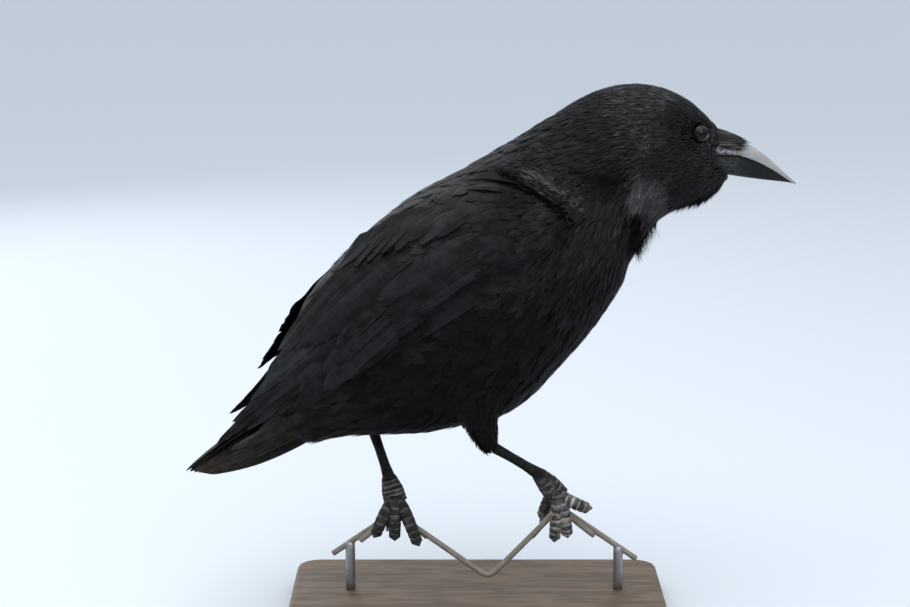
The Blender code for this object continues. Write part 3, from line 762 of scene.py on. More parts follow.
def feather_piece(name, material, corners, roots, tints):
    """One object from laid vanes: tint, vane place and bake patch at every corner."""
    feathers, rows, columns, _ = corners.shape
    across = np.linspace(-1, 1, columns)
    along = np.linspace(0, 1, rows)[None, :, None]
    own = rng.random(feathers)[:, None, None]
    vane = np.stack(np.broadcast_arrays(across, along, own), axis=3)
    tint = np.ones((*corners.shape[:3], 4))
    tint[..., :tints.shape[1]] = tints[:, None, None]
    round_at, along_at = unwrap(roots).T[..., None, None]
    bake = np.stack(np.broadcast_arrays(round_at + across * PATCH / 2,
                                        along_at + (along - 0.5) * PATCH), axis=3)
    piece = mesh_piece(name, corners, grid_faces(feathers, rows, columns), material,
                       tint, np.clip(bake, 0, 1).reshape(-1, 2), vane)
    place(piece, "feather")
    print(f"{name}: {feathers} feathers, {len(piece.data.polygons) * 2} triangles")


# %% [markdown]
# ## Scattering roots
# Feathers grow in an even pattern, closer on the face than on the body. Many trial
# points are dropped on the skin; going through them in random order, each one kept
# removes its neighbours within the local spacing. The kept points are sorted into a few
# coat pieces by the patch that leads there.

# %% Even roots
tris = np.concatenate([skin_faces[:, (0, 1, 2)], skin_faces[:, (0, 2, 3)]])
tri_corner = skin_points[tris]
tri_area = np.linalg.norm(np.cross(tri_corner[:, 1] - tri_corner[:, 0],
                                   tri_corner[:, 2] - tri_corner[:, 0]), axis=1) / 2
tri_gap = chart_at(tri_corner.mean(axis=1))[1][:, 2] * MM
wanted = tri_area / tri_gap ** 2
TRIALS = int(wanted.sum() * 5)
chosen = rng.choice(len(tris), TRIALS, p=wanted / wanted.sum())
mix = rng.random((TRIALS, 2))
mix[mix.sum(1) > 1] = 1 - mix[mix.sum(1) > 1]
picked = tri_corner[chosen]
trial = (picked[:, 0] + (picked[:, 1] - picked[:, 0]) * mix[:, :1]
         + (picked[:, 2] - picked[:, 0]) * mix[:, 1:])
trial_gap = tri_gap[chosen]

finder = KDTree(TRIALS)
for k, point in enumerate(trial.tolist()):
    finder.insert(point, k)
finder.balance()
taken = np.zeros(TRIALS, bool)
kept = []
for k in range(TRIALS):
    if not taken[k]:
        kept.append(k)
        for _, other, _ in finder.find_range(trial[k], trial_gap[k]):
            taken[other] = True
roots = trial[kept]
print(len(roots), "roots kept of", TRIALS, "trial points")

# %% Roots that must stay clear
lie, sizes, tint, _ = chart_at(roots)
EDGE_BLUR = 0.0045
patch = chart_at(roots + rng.normal(0, EDGE_BLUR, roots.shape))[3]
tip = roots + lie * (sizes[:, :1] * MM)
off_root, high = from_eye(roots)
off_tip, high_tip = from_eye(tip)
ROOT_CLEAR, TIP_CLEAR, SHORTER_NEAR = 0.0046, 0.0038, 0.011
FOREMOST, GAPE_LOW, GAPE_HIGH = 0.1675, 0.3050, 0.3290
clear = ~((off_root < ROOT_CLEAR) & (high > 0)) & ~((off_tip < TIP_CLEAR) & (high_tip > 0))
clear &= roots[:, 0] < FOREMOST
clear &= ~((roots[:, 0] > gape_edge(roots[:, 2]) - 0.0003) & (roots[:, 2] > GAPE_LOW)
           & (roots[:, 2] < GAPE_HIGH))
roots, lie, sizes, tint, patch = (a[clear] for a in (roots, lie, sizes, tint, patch))
sizes[from_eye(roots)[0] < SHORTER_NEAR, 0] *= 0.6
print(len(roots), "roots after clearing the eyes and the bill")

# %% Lay the scattered coat
COATS = {
    # piece: rows and columns of a feather, finish, spread of tint, turn, pale edge, patches
    "coat_crown": (5, 2, head_finish, 0.50, 0.95, 1.0,
                   "forehead brow eye_shadow crown hind_crown"),
    "coat_face": (5, 2, head_finish, 0.50, 0.95, 1.0,
                  "lore behind_eye cheek ear_edge ear_hollow ear_coverts chin jaw throat "
                  "neck_side throat_edge neck_hollow hollow_top"),
    "coat_neck": (6, 4, neck_finish, 0.20, 0.95, 1.0,
                  "nape neck_back neck_fold ruff_low hind_neck neck_front shoulder "
                  "side_breast upper_breast breast_side"),
    "coat_breast": (7, 4, under_finish, 0.10, 0.95, 1.0,
                    "breast lower_side belly_front flank"),
    "coat_back": (7, 6, body_finish, 0.20, 0.60, 1.0,
                  "mantle scapular low_scapular back lower_back rump uppertail"),
    "coat_belly": (7, 4, under_finish, 0.10, 0.95, 1.0,
                   "rear_flank belly vent vent_side undertail tail_under thigh_right "
                   "thigh_left"),
    "coat_wings": (7, 6, quill_finish, 0.12, 0.60, 0.3,
                   "wing_bend wing_shadow fold_shadow small_coverts wing_coverts "
                   "pale_coverts low_wing under_quills quill_bed"),
}
patch_names = list(CHART)
COATED = " ".join(row[-1] for row in COATS.values()).split()
print("patches in no piece:", set(CHART) - set(COATED))
under_wing = [patch_names.index(p) for p in ("under_quills", "quill_bed")]
for name, (rows, columns, finish, spread, turning, edge_pale, patches) in COATS.items():
    mine = np.isin(patch, [patch_names.index(p) for p in patches.split()])
    here, size, count_here = roots[mine], sizes[mine], int(mine.sum())
    heading = unit(lie[mine] + rng.normal(0, 0.11, (count_here, 3)) * turning)
    length = size[:, 0] * MM * rng.uniform(0.82, 1.15, count_here)
    line, normal = walk(here, heading, length, rows)
    half = size[:, 1] * MM / 2 * rng.uniform(0.85, 1.15, count_here)
    rise = size[:, 3] * MM * rng.uniform(0.65, 1.15, count_here)
    rise *= np.where(np.isin(patch[mine], under_wing), 0.3, 1.0)
    point = np.clip(size[:, 4] + rng.normal(0, 0.08, count_here), 0, 1)
    corners = vanes(line, normal, half, rise, point, columns)
    # Slow clouds and narrow streaks along the lie keep the tints from looking sprinkled.
    cloud = np.sin(here @ np.array((410.0, 150.0, -620.0)) + 2.2 * np.sin(
        here @ np.array((170.0, -90.0, 260.0))))
    paleness = np.clip(tint[mine][:, 1] / BLACK[1] - 1.1, 0, 1)
    ridge = here[:, 0] * -lie[mine][:, 2] + here[:, 2] * lie[mine][:, 0]
    streak = np.sin(2100 * ridge + 700 * here[:, 1] + 2.4 * np.sin(here @ (230.0, 90, 150)))
    tints = tint[mine] * (np.clip(rng.lognormal(0, spread, count_here), 0.4, 2.1)
                          * (1 + (0.14 + 0.30 * paleness) * cloud)
                          * (1 + spread * streak))[:, None]
    feather_piece(name, finish, corners, here,
                  np.hstack([tints, np.full((count_here, 1), edge_pale)]))

# %% [markdown]
# ## Quills of the wing
# The folded wing is a stack of long stiff feathers. The innermost lie on top; each one
# further out starts lower and reaches further back. Every quill is drawn as a line in
# side view and then draped: a ray from the side finds the solid's surface, and the
# quill's place in the stack decides how far it stands off it.

# %% Draping a side-view line on the solid
form_points, form_normals, form_faces = one_surface(False, 0.0003, 0.0014, 8)
form_tree = BVHTree.FromPolygons([Vector(p) for p in form_points.tolist()],
                                 form_faces.tolist())
form_face_normals = unit(form_normals[form_faces].mean(axis=1))
print("form for draping:", len(form_faces), "faces")


PRESS_REACH, OUTWARD = 0.0045, 0.45


def settle(corners, stand, free):
    """Presses vane corners on to the solid, keeping their own height above it."""
    flat = corners.reshape(-1, 3)
    heights = np.broadcast_to(stand, corners.shape[:-1]).ravel()
    loose = np.broadcast_to(free, corners.shape[:-1]).ravel()
    for k, point in enumerate(flat.tolist()):
        hit, _, face, apart = form_tree.find_nearest(Vector(point))
        hold = min(1.0, max(0.0, (PRESS_REACH - apart) / (PRESS_REACH * 0.5))) * (1 - loose[k])
        target = np.array(hit) + form_face_normals[face] * heights[k]
        flat[k] = flat[k] * (1 - hold) + target * hold
    return flat.reshape(corners.shape)


def drape(rows_mm, side, steps):
    """A line through (ahead, up) places, laid on the outside of one side."""
    flat = eased(np.array(rows_mm, float), np.linspace(0, len(rows_mm) - 1, steps)) * MM
    line, normal = np.empty((steps, 3)), np.empty((steps, 3))
    out = Vector((0, side, 0))
    for step, (x, z) in enumerate(flat):
        hit, face, _, _ = form_tree.ray_cast(Vector((x, side * 0.12, z)),
                                             Vector((0, -side, 0)))
        if hit is None or hit.y * side < 0.0:
            hit, face, _, _ = form_tree.find_nearest(
                Vector((x, line[step - 1, 1] if step else side * 0.01, z)))
        face = face if face.y * side > -0.2 else out
        line[step] = (x, hit.y, z)
        normal[step] = (face * (1 - OUTWARD) + out * OUTWARD).normalized()
    for _ in range(3):
        line[1:-1, 1] = (line[:-2, 1] + 2 * line[1:-1, 1] + line[2:, 1]) / 4
        normal[1:-1] = unit(normal[:-2] + 2 * normal[1:-1] + normal[2:])
    return line, normal


QUILLS = {
    # group: lines in side view from the lowest to the highest; how many; width at both
    # ends; place in the stack; point; lift of the lower edge; how pale the edge is
    "primary_low": ([[(-60, 203), (-106, 172), (-144, 146)],
                     [(-58, 210), (-112, 175), (-172, 130)]], 5, (11, 8), (0, 3), .5, .7, 2.0),
    "primary": ([[(-57, 216), (-116, 177), (-179, 124)],
                 [(-55, 233), (-104, 196), (-159, 149)],
                 [(-55, 251), (-97, 219), (-141, 179)]], 9, (8.5, 9), (4, 9), .5, .8, 2.0),
    "secondary": ([[(-30, 224), (-66, 196), (-119, 157)],
                   [(-38, 248), (-80, 211), (-123, 176)]], 5, (11, 11), (10, 13), .3, .9, 1.2),
    "rounded": ([[(-40, 229), (-70, 203), (-102, 171)], [(-42, 237), (-72, 212), (-102, 181)],
                 [(-44, 246), (-70, 223), (-93, 198)]], 3, (13, 12), (15, 17), .0, 1.2, 1.4),
    "tertial": ([[(-34, 262), (-70, 232), (-111, 198)],
                 [(-48, 276), (-90, 243), (-135, 189)]], 7, (14, 12), (13, 17), .15, .7, .6),
    "great_covert": ([[(-12, 225), (-30, 214), (-50, 202)], [(-12, 247), (-34, 235), (-58, 218)],
                      [(-16, 268), (-38, 254), (-66, 234)]], 24, (9, 10), (13, 18), .0, .6, .3),
    "tail_covert": ([[(-104, 131), (-132, 119), (-168, 107)],
                     [(-108, 152), (-136, 139), (-168, 121)]], 11, (7, 6.5), (8, 12), .4, .4, .3),
    "scapular": ([[(-2, 292), (-15, 284), (-31, 274)], [(-20, 294), (-38, 281), (-56, 265)],
                  [(-36, 291), (-56, 277), (-77, 252)],
                  [(-54, 281.8), (-72, 266.8), (-93, 246)]], 10, (11, 10), (15, 20), .0, .9, .6),
    "scapular_tip": ([[(24, 302.5), (8, 303.5), (-9, 303)],
                      [(27, 308), (9, 309), (-9, 307)]], 2, (7, 7), (9, 11), .25, .4, 1.0),
}
FAR_TIPS = {"primary": ((-174, 136), (-150, 157)), "secondary": ((-104, 174), (-132, 185)),
            "rounded": ((-106, 178), (-100, 190)), "tertial": ((-152, 171), (-129, 209))}
LAYER = 0.00017


def quill_set(side):
    """Every long feather of one wing: its line, half width, layer and manner."""
    for group, (lines, number, wide, layers, *manner) in QUILLS.items():
        lines = np.array(lines, float)
        for k in range(number):
            t = k / (number - 1)
            row = eased(lines, t * (len(lines) - 1)) + rng.normal(0, 0.5, lines[0].shape)
            if group == "scapular":
                row[-1] += rng.normal(0, 1.8, 2)
            if side > 0:
                row[:2] += (0, -2.5)
                if group in FAR_TIPS:
                    start, end = np.array(FAR_TIPS[group], float)
                    row[-1] = start * (1 - t) + end * t
                    row[1] -= (0, 4 * (group == "tertial"))
                elif group.startswith("scapular"):
                    row += (0, -7.0)
            broad = 1.3 if side > 0 and group in FAR_TIPS else 1.0
            tier = k % 3 if group == "great_covert" else 0
            row += tier * np.array((9, 5))
            yield (group, row, np.interp(t, (0, 1), wide) * broad * MM / 2,
                   np.interp(t, (0, 1), layers) + 1.5 * tier, *manner)


QUILL_ROWS, QUILL_COLUMNS, QUILL_CUP = 34, 10, 0.16
QUILL_TONES = {"primary": 0.98, "primary_low": 0.98, "rounded": 0.88, "secondary": 0.78,
               "tertial": 0.85, "great_covert": 0.95}
FREE_TIPS, HOLD = ("primary", "primary_low", "secondary", "rounded"), 22
ROOT_SUNK, SHAFT_HIGH = 0.0022, 0.00045


def quill_corners(line, normal, half, point, skew, stand, lift=None, free=0):
    """One long vane with a shaft ridge along its middle."""
    corners = vanes(line[None], normal[None], np.array([half]), np.array([stand]),
                    np.array([point]), QUILL_COLUMNS, cup=QUILL_CUP, fray=0.012,
                    skew=skew, rise_shape=np.full(len(line), 1.0))[0]
    middle = QUILL_COLUMNS // 2
    along = np.linspace(0, 1, len(line))
    if lift is not None:
        across = np.linspace(-1, 1, QUILL_COLUMNS + 1)
        arch = QUILL_CUP * half * (1 - across ** 2)[None] * vane_width(along, point)[:, None]
        lower = np.clip(-np.sign(skew) * across, -0.4, 1)[None] * along[:, None] ** 0.5
        rooted = (stand + ROOT_SUNK) * np.clip(along / 0.6, 0, 1) ** 0.8 - ROOT_SUNK
        leaves = free * np.clip((along - 0.72) / 0.12, 0, 1)
        corners = settle(corners, rooted[:, None] + arch + lift * MM * lower, leaves[:, None])
    corners[:, middle] += normal * (SHAFT_HIGH * (1 - along) ** 0.5)[:, None]
    return corners


COOL = np.array((1.0, 1.0, 1.01)) * 0.85
for side_name, side in SIDES:
    sheets, starts, tints, hidden = [], [], [], []
    for group, row, half, layer, point, lift, edge_pale in quill_set(side):
        line, normal = drape(row, side, QUILL_ROWS)
        free = group in FREE_TIPS
        if free:
            out, ahead_of = line[HOLD:, 1] * side, line[HOLD, 0] - line[HOLD:, 0]
            line[HOLD:, 1] = side * np.maximum(out, line[HOLD, 1] * side - 0.22 * ahead_of)
        stand = -0.0012 + layer * LAYER
        sheets.append(quill_corners(line, normal, half, point, 0.22 * side, stand, lift=lift,
                                    free=free))
        starts.append(line[0])
        hidden.append(group == "tail_covert" and side > 0)
        tone = QUILL_TONES.get(group, 1.0)
        if group == "primary":
            tone *= 0.85 + 0.19 * (layer - 4)
        base = chart_at(line[QUILL_ROWS // 2:QUILL_ROWS // 2 + 1])[2][0]
        cool = COOL
        if group == "tail_covert":
            base, cool = WORN * 0.50, np.array((1.08, 1.0, 0.88))
        tints.append([*((BLACK * 0.62 * 0.5 + base * 0.5) * cool * tone
                        * rng.uniform(0.72, 1.30)), edge_pale])
    # The far wing stands clear of the tail, so its side has no coverts to bridge the gap.
    shown = ~np.array(hidden)
    feather_piece("quills_" + side_name, quill_finish, np.array(sheets)[shown],
                  np.array(starts)[shown], np.array(tints)[shown])

# %% [markdown]
# ## Tail
# Twelve tail feathers lie almost closed, one over the next from the middle outward, with
# the outer pairs lower at the sides. Seen from the side they make one thin dark wedge.

# %% Tail feathers
sheets, starts, tints = [], [], []
for k in range(12):
    side = -1 if k % 2 else 1
    pair = k // 2
    t = np.linspace(0, 1, QUILL_ROWS)
    down = pair / 5
    root = np.array((-118 + pair, (1.5 + 1.6 * pair) * side, 156 - 29 * down))
    tip = np.array((-202.5 + 16 * down + (side > 0) * 0.6, (1.0 + 1.9 * pair) * side,
                    100.6 + 1.0 * down))
    line = (root * (1 - t[:, None]) + tip * t[:, None]) * MM
    line[:, 2] += np.sin(t * math.pi) * (4.4 - 5.8 * down) * MM
    face = np.array((0.46 - 0.20 * down, side * (0.10 + 1.1 * down), 0.88 - 0.62 * down))
    half = (6.6 - 2.2 * down) * MM
    sheets.append(quill_corners(line, np.tile(unit(face), (QUILL_ROWS, 1)), half, 0.30,
                                0.10 * side, 0.0002 * pair))
    starts.append(line[0])
    tints.append([*((BLACK * 0.3 + WORN * 0.7) * 0.55 * rng.uniform(0.85, 1.15)), 0.3])
feather_piece("tail_feathers", quill_finish, np.array(sheets), np.array(starts),
              np.array(tints))

# %% [markdown]
# ## Loose tufts
# A few places are not a smooth coat: the lock where the mantle folds over the bend of
# the wing, its pale colour mostly a painted highlight with a little worn brown; rows of
# near-black blades under that fold and in the throat hollow, as painted shadow; the
# hackles that hang from the throat; the ruffle on the side of the neck, its pale colour
# mostly a painted sheen; the tufts under the chin; a few pale flecks on the face, those
# over the brow a painted highlight; and the loose edges of thigh and undertail. These
# are rows of narrow blades with their own directions.

# %% Rows of blades
TUFTS = {
    # name: (row of roots, points towards, number, long, wide, rise, shade, brown,
    #        spread, loose: how far each blade leaves the skin and hangs straight)
    # The lock and the row above it: pale blades that are mostly a painted highlight along the
    # mantle fold, a little worn brown.
    "mantle_lock": ([(70, 40, 288), (64, 41, 292), (57, 40, 297), (50, 39, 301),
                     (44, 37, 305), (37, 35, 308)],
                    (-0.84, 0.02, 0.46), 460, (7, 13), 0.75, 1.3, 2.4, 0.30, 4.2, 0.0),
    "lock_top": ([(73, 39, 293), (68, 39, 298), (62, 38, 302), (54, 37, 306), (43, 34, 311)],
                 (-0.88, 0.02, 0.30), 360, (6, 11), 0.80, 1.0, 1.60, 0.25, 5.5, 0.0),
    # Near-black blades under the fold: painted shadow.
    "fold_shadow_blades": ([(66, 43, 281), (60, 44, 285), (53, 44, 290), (46, 42, 296), (39, 40, 300),
                   (32, 38, 303)],
                  (-0.90, 0.02, 0.20), 300, (6, 11), 1.4, 1.0, 0.03, 0.0, 2.6, 0.0),
    "throat_hackles": ([(118, 3, 284), (113, 6, 277), (109, 8, 271), (106, 12, 267)],
                       (-0.12, 0.05, -1.0), 120, (11, 19), 1.3, 1.2, 0.30, 0.3, 2.6, 0.9),
    # Pale blades of the ruffle: mostly a painted sheen of light on the disordered feathers.
    "neck_ruffle": ([(122, 16, 291), (117, 22, 298), (111, 27, 302), (105, 28, 297)],
                    (-0.34, 0.14, -0.92), 380, (6, 12), 0.60, 1.4, 3.2, 0.22, 8.0, 0.05),
    # Near-black blades in the throat hollow: painted shadow.
    "hollow_shadow_blades": ([(108, 22, 289), (107, 20, 283), (105, 18, 277), (103, 16, 271)],
                    (-0.30, 0.05, -0.95), 260, (8, 14), 1.2, 1.2, 0.03, 0.0, 4.5, 0.05),
    "breast_wisps": ([(98, 24, 272), (86, 36, 264), (72, 42, 258), (62, 46, 246)],
                     (-0.62, 0.05, -0.78), 300, (8, 14), 0.8, 1.5, 0.85, 0.22, 17.0, 0.1),
    "chin_tufts": ([(163, 3, 305), (154, 5, 299), (146, 6, 294), (136, 6, 289)],
                   (-0.62, 0.05, -0.78), 190, (5, 9.5), 0.9, 1.2, 0.42, 0.3, 2.4, 0.8),
    "ear_fleck": ([(113, 23, 345), (112, 24, 340), (113, 25, 334), (113, 25, 328)],
                  (-0.60, 0.30, -0.70), 26, (2.5, 5), 0.7, 1.6, 2.8, 0.15, 2.6, 0.1),
    "gape_fleck": ([(150, 12, 316), (150, 12, 310), (148, 11, 304)],
                   (-0.30, 0.20, -0.90), 26, (2, 4), 0.6, 0.8, 2.2, 0.10, 2.4, 0.0),
    # Pale flecks over the brow: a painted highlight where the brow feathers catch the light.
    "brow_highlight": ([(149, 12, 350), (152, 10, 349), (155, 9, 346)],
                   (-0.75, 0.10, 0.30), 14, (1.6, 2.8), 0.6, 0.6, 3.2, 0.25, 1.2, 0.0),
    "thigh_fringe": ([(-11, 33, 143), (-8, 32, 134), (-3, 30, 127), (8, 30, 124)],
                     (-0.05, 0.05, -1.0), 120, (8, 13), 2.3, 1.4, 0.36, 0.2, 3.5, 0.35),
    "undertail_fringe": ([(-96, 6, 128), (-112, 5, 123), (-130, 5, 120), (-156, 4, 113)],
                         (-0.93, 0.05, -0.40), 150, (9, 15), 1.5, 1.4, 0.50, 0.6, 4.0, 0.4),
}
BLADE_STEPS = 6


def blade_row(row, aim, number, long, wide, rise, spread, loose, side):
    """Narrow blades rooted near a line on the skin."""
    spots = eased(np.array(row, float), rng.uniform(0, len(row) - 1, number))
    spots += rng.normal(0, spread / 2, spots.shape)
    spots[:, 1] *= side
    spots *= MM
    for k, spot in enumerate(spots.tolist()):
        spots[k] = surface_tree.find_nearest(Vector(spot))[0]
    heading = np.tile(np.array(aim) * (1, side, 1), (number, 1))
    heading = unit(heading + rng.normal(0, 0.12, heading.shape))
    length = rng.uniform(*long, number) * MM
    line, normal = walk(spots, heading, length, BLADE_STEPS)
    step = np.linspace(0, 1, BLADE_STEPS)[None, :, None]
    straight = line[:, :1] + heading[:, None] * length[:, None, None] * step
    line = line + (straight - line) * loose * step
    half = wide * MM / 2 * rng.uniform(0.7, 1.2, number)
    high = rise * MM * rng.uniform(0.75, 1.2, number)
    return vanes(line, normal, half, high, np.full(number, 0.95), 2, fray=0.03), spots


sheets, starts, tints = [], [], []
for name, row in TUFTS.items():
    number, (shade, brown) = row[2], row[6:8]
    colour = (BLACK * (1 - brown) + WORN * brown) * shade
    for side in (-1, 1):
        corners, spots = blade_row(*row[:6], *row[8:], side)
        sheets.append(corners)
        starts.append(spots)
        tints.append(colour * np.clip(rng.lognormal(-0.06, 0.34, (number, 1)), 0.35, 1.9))
feather_piece("loose_tufts", under_finish, np.concatenate(sheets), np.concatenate(starts),
              np.concatenate(tints))

# %% [markdown]
# ## Bill
# The bill is horn over bone: the upper half curves down over the lower one, its sides
# swell above the cutting edge, and a smooth rounded ridge runs along the top. The horn
# is black; the upper half's pale grey is mostly a painted reflection of the sky on its
# gloss, broken by worn mottling, and the dark band along the closed edge is painted
# shade in the gape. The tip is darkest. Both halves are lofted from one table of sections.

# %% Bill shape
BILL = np.array([
    # ahead  ridge  edge   under  half width
    (-14, 341.0, 322.8, 308.8, 10.8), (-9, 340.4, 322.4, 308.4, 10.4),
    (-4, 339.4, 322.0, 307.8, 9.9), (0, 337.8, 321.6, 307.4, 9.4),
    (9, 333.0, 320.6, 306.2, 8.4), (20, 326.4, 317.4, 304.9, 6.8),
    (30, 319.0, 312.6, 303.9, 5.2), (39, 311.0, 307.6, 303.0, 3.6),
    (45, 305.4, 303.8, 302.2, 2.0), (49, 302.2, 301.4, 301.0, 0.7)])
BILL_BASE, BILL_MIDDLE = 164.9, np.array((0.175, 0, 0.320))
BILL_LONG, BILL_ROWS, BILL_SIDES = 49, 64, 25


def loft(rings):
    """Faces between rings of equal size, with both ends closed by a fan."""
    rings = np.asarray(rings, float)
    rows, sides = rings.shape[:2]
    verts = np.concatenate([rings.reshape(-1, 3), rings[:1].mean(1), rings[-1:].mean(1)])
    row, col = np.meshgrid(np.arange(rows - 1), np.arange(sides), indexing="ij")
    a, b = (row * sides + col).ravel(), (row * sides + (col + 1) % sides).ravel()
    faces = np.stack([a, b, b + sides, a + sides], axis=1).tolist()
    head, tail = rows * sides, rows * sides + 1
    last = (rows - 1) * sides
    for k in range(sides):
        faces.append([head, (k + 1) % sides, k])
        faces.append([tail, last + k, last + (k + 1) % sides])
    return verts, faces


def bill_half(upper):
    """Rings of one half of the bill, and how far each corner is above the edge."""
    table = eased(BILL, np.linspace(0, len(BILL) - 1, BILL_ROWS))
    turn = np.linspace(0, math.pi, BILL_SIDES)
    rings, marks = [], []
    for ahead, ridge, edge, under, half in table:
        wave = 0.35 * math.sin(ahead * 0.16 + 0.6) * max(0, 1 - ahead / 48)
        wave += 0.55 * math.exp(-((ahead - 9.5) / 1.1) ** 2)
        wave += 0.25 * math.exp(-((ahead - 14.5) / 1.3) ** 2)
        if upper:
            across = np.cos(turn) * np.abs(np.cos(turn)) ** -0.25
            up = np.sin(turn) ** 0.92
            low, tall, wide = edge + wave, ridge - edge - wave, half
        else:
            across = np.cos(turn) * np.abs(np.cos(turn)) ** -0.2
            up = -np.sin(turn) ** 0.95
            low, tall, wide = edge + wave - 0.5, edge + wave - 0.5 - under, half * 0.92
        across = np.nan_to_num(across)
        z = low + up * max(tall, 0.25)
        lean = 0.31 * (321.5 - z) * max(0.0, 1 - ahead / 30)
        rings.append(np.stack([BILL_BASE + ahead + lean, across * wide, z], axis=1))
        marks.append(np.stack([np.full(BILL_SIDES, ahead / BILL_LONG), np.abs(up), across],
                              axis=1))
    marks = np.concatenate([np.array(marks).reshape(-1, 3), [[0, 0, 0], [1, 0, 0]]])
    verts, faces = loft(np.array(rings) * MM)
    return verts, faces, marks


def horn(pale, dark, edge_shade, edge_shade_width, flaked, flakes):
    """Horn: grain along it, mottled wear, painted shade along the closed edge, and flaked skin at
    its root.
    """
    def build(base):
        ahead, above, _ = base.vane().split()
        spot = base.spot()
        grain = spot.stretched((90, 700, 700)).noise(1.0, 4.0, 0.6)
        mottle = spot.noise(160.0, 3.0)
        wear = (grain * 0.6 + mottle * 0.5 - 0.1).clamped()
        body = wear.blend(dark, pale)
        # Painted shade along the closed edge, in the gape between the two halves.
        painted_edge_shade = (1 - above.between(0.0, edge_shade_width)) * edge_shade
        scuffs = spot.stretched((1, 1, 1.7)).noise(300.0, 4.0, 0.7).between(0.43, 0.54)
        scuffs = scuffs * (1 - ahead.between(0.02, 0.34)) * flakes
        at_tip = ahead.between(0.80, 1.0) * 0.45
        colour = (painted_edge_shade + at_tip).clamped().blend(body, (0.012, 0.0115, 0.011, 1))
        colour = scuffs.clamped().blend(colour, flaked)
        return {"Base Color": colour, "Roughness": 0.34 + grain * 0.22,
                "Normal": base.bump(grain * 0.7 + mottle * 0.3, 0.00022, 0.5)}
    return build


FLAKED_DARK, FLAKED_PALE = (0.024, 0.021, 0.019, 1), (0.060, 0.060, 0.056, 1)
# The upper horn's greys are mostly a painted reflection of the sky on glossy black horn.
upper_horn = finish_material(
    "upper horn", horn((0.400, 0.398, 0.394, 1), (0.165, 0.165, 0.167, 1), 1.0, 0.13,
                       FLAKED_DARK, 0.85), Specular_IOR_Level=0.5)
lower_horn = finish_material(
    "lower horn", horn((0.017, 0.0175, 0.0185, 1), (0.006, 0.007, 0.008, 1), 0.9, 0.60,
                       FLAKED_PALE, 0.60), Specular_IOR_Level=0.15)
for name, upper, finish in (("bill_lower", False, lower_horn),
                            ("bill_upper", True, upper_horn)):
    verts, faces, marks = bill_half(upper)
    piece = plain_mesh(name + "_horn", verts, faces, finish, marks)
    place(piece, "bill", name)
    print(piece.name, len(faces), "faces")

# %% Bristles over the nostrils and beside the gape
bristle_bed = [Vector(v) for v in verts.tolist()] + [Vector(p) for p in skin_points.tolist()]
bed_faces = faces + (skin_faces + len(verts)).tolist()
bristle_tree = BVHTree.FromPolygons(bristle_bed, bed_faces)
bristle_normals = np.array([(bristle_bed[f[1]] - bristle_bed[f[0]]).cross(
    bristle_bed[f[2]] - bristle_bed[f[0]]).normalized() for f in bed_faces])
bristle_normals[:len(faces)] *= np.sign((bristle_normals[:len(faces)] * (
    np.array([sum((bristle_bed[i] for i in f), Vector()) / len(f) for f in faces])
    - BILL_MIDDLE)).sum(1))[:, None]


def face_piece(name, lay, number, steps, length_spread, aim_spread, half, rise, rise_shape,
               colour, shade, most):
    """Narrow feathers on both sides, from a rule that gives roots, lengths and aims."""
    sheets, starts = [], []
    for side in (-1, 1):
        root, reach, aim = lay(rng.random(number), rng.random(number), side)
        reach = (reach + rng.normal(0, length_spread, number)) * MM
        aim = unit(aim + rng.normal(0, aim_spread, (number, 3)))
        line, normal = walk(root, aim, reach, steps, bristle_tree, bristle_normals)
        sheets.append(vanes(line, normal, rng.uniform(*half, number) * MM,
                            rng.uniform(*rise, number) * MM, np.ones(number), 2, fray=0.02,
                            rise_shape=rise_shape))
        starts.append(root)
    tints = colour * np.minimum(rng.lognormal(shade, 0.9, (2 * number, 1)), most)
    feather_piece(name, head_finish, np.concatenate(sheets), np.concatenate(starts), tints)


def over_nostril(t, u, side):
    """Roots from the ridge down (t) and forward (u); the rear ones are the longest."""
    first = 154.5 - 5.0 * np.clip(4 * t - 3, 0, 1)
    root = np.stack([first + (164.5 - first) * u, side * (0.5 + 9.5 * t),
                     343.5 - 12.6 * t ** 1.2 - 4.6 * u], axis=1) * MM
    aim = np.stack([np.ones(len(t)), side * (-0.10 - 0.06 * t), -0.44 + 0.34 * t], axis=1)
    return root, 12.5 + 8.0 * (1 - np.abs(t - 0.45)) - 7.0 * u, aim


def round_gape(t, u, side):
    """Roots down the line of the gape (t) and forward (u); the lower ones are longer."""
    high = (329.0 - 25.0 * t) * MM
    root = np.stack([gape_edge(high) - (3.6 - 3.0 * u) * MM, side * (7.0 + 6 * u) * MM,
                     high], axis=1)
    low_down = np.clip(t - 0.35, 0, 1)
    aim = np.stack([np.ones(len(t)), side * np.full(len(t), -0.15), -0.30 - 0.5 * low_down],
                   axis=1)
    return root, 3.6 + 4.0 * low_down, aim


face_piece("nose_bristles", over_nostril, 760, 7, 2.9, 0.09, (0.30, 0.55), (0.3, 2.3),
           np.linspace(0.6, 1, 7), BLACK * 0.6 + WORN * 0.4, -0.15, 3.2)
face_piece("gape_feathers", round_gape, 420, 6, 1.3, 0.12, (0.32, 0.60), (0.3, 1.0),
           None, BLACK * 0.5, 0.1, 5)

# %% [markdown]
# ## Eyes
# A crow's eye is nearly all dark iris and pupil under one clear cornea. The ball sits in
# its socket with only the middle showing; a thin bare rim of lid goes round it, a little
# paler below where it catches the light.

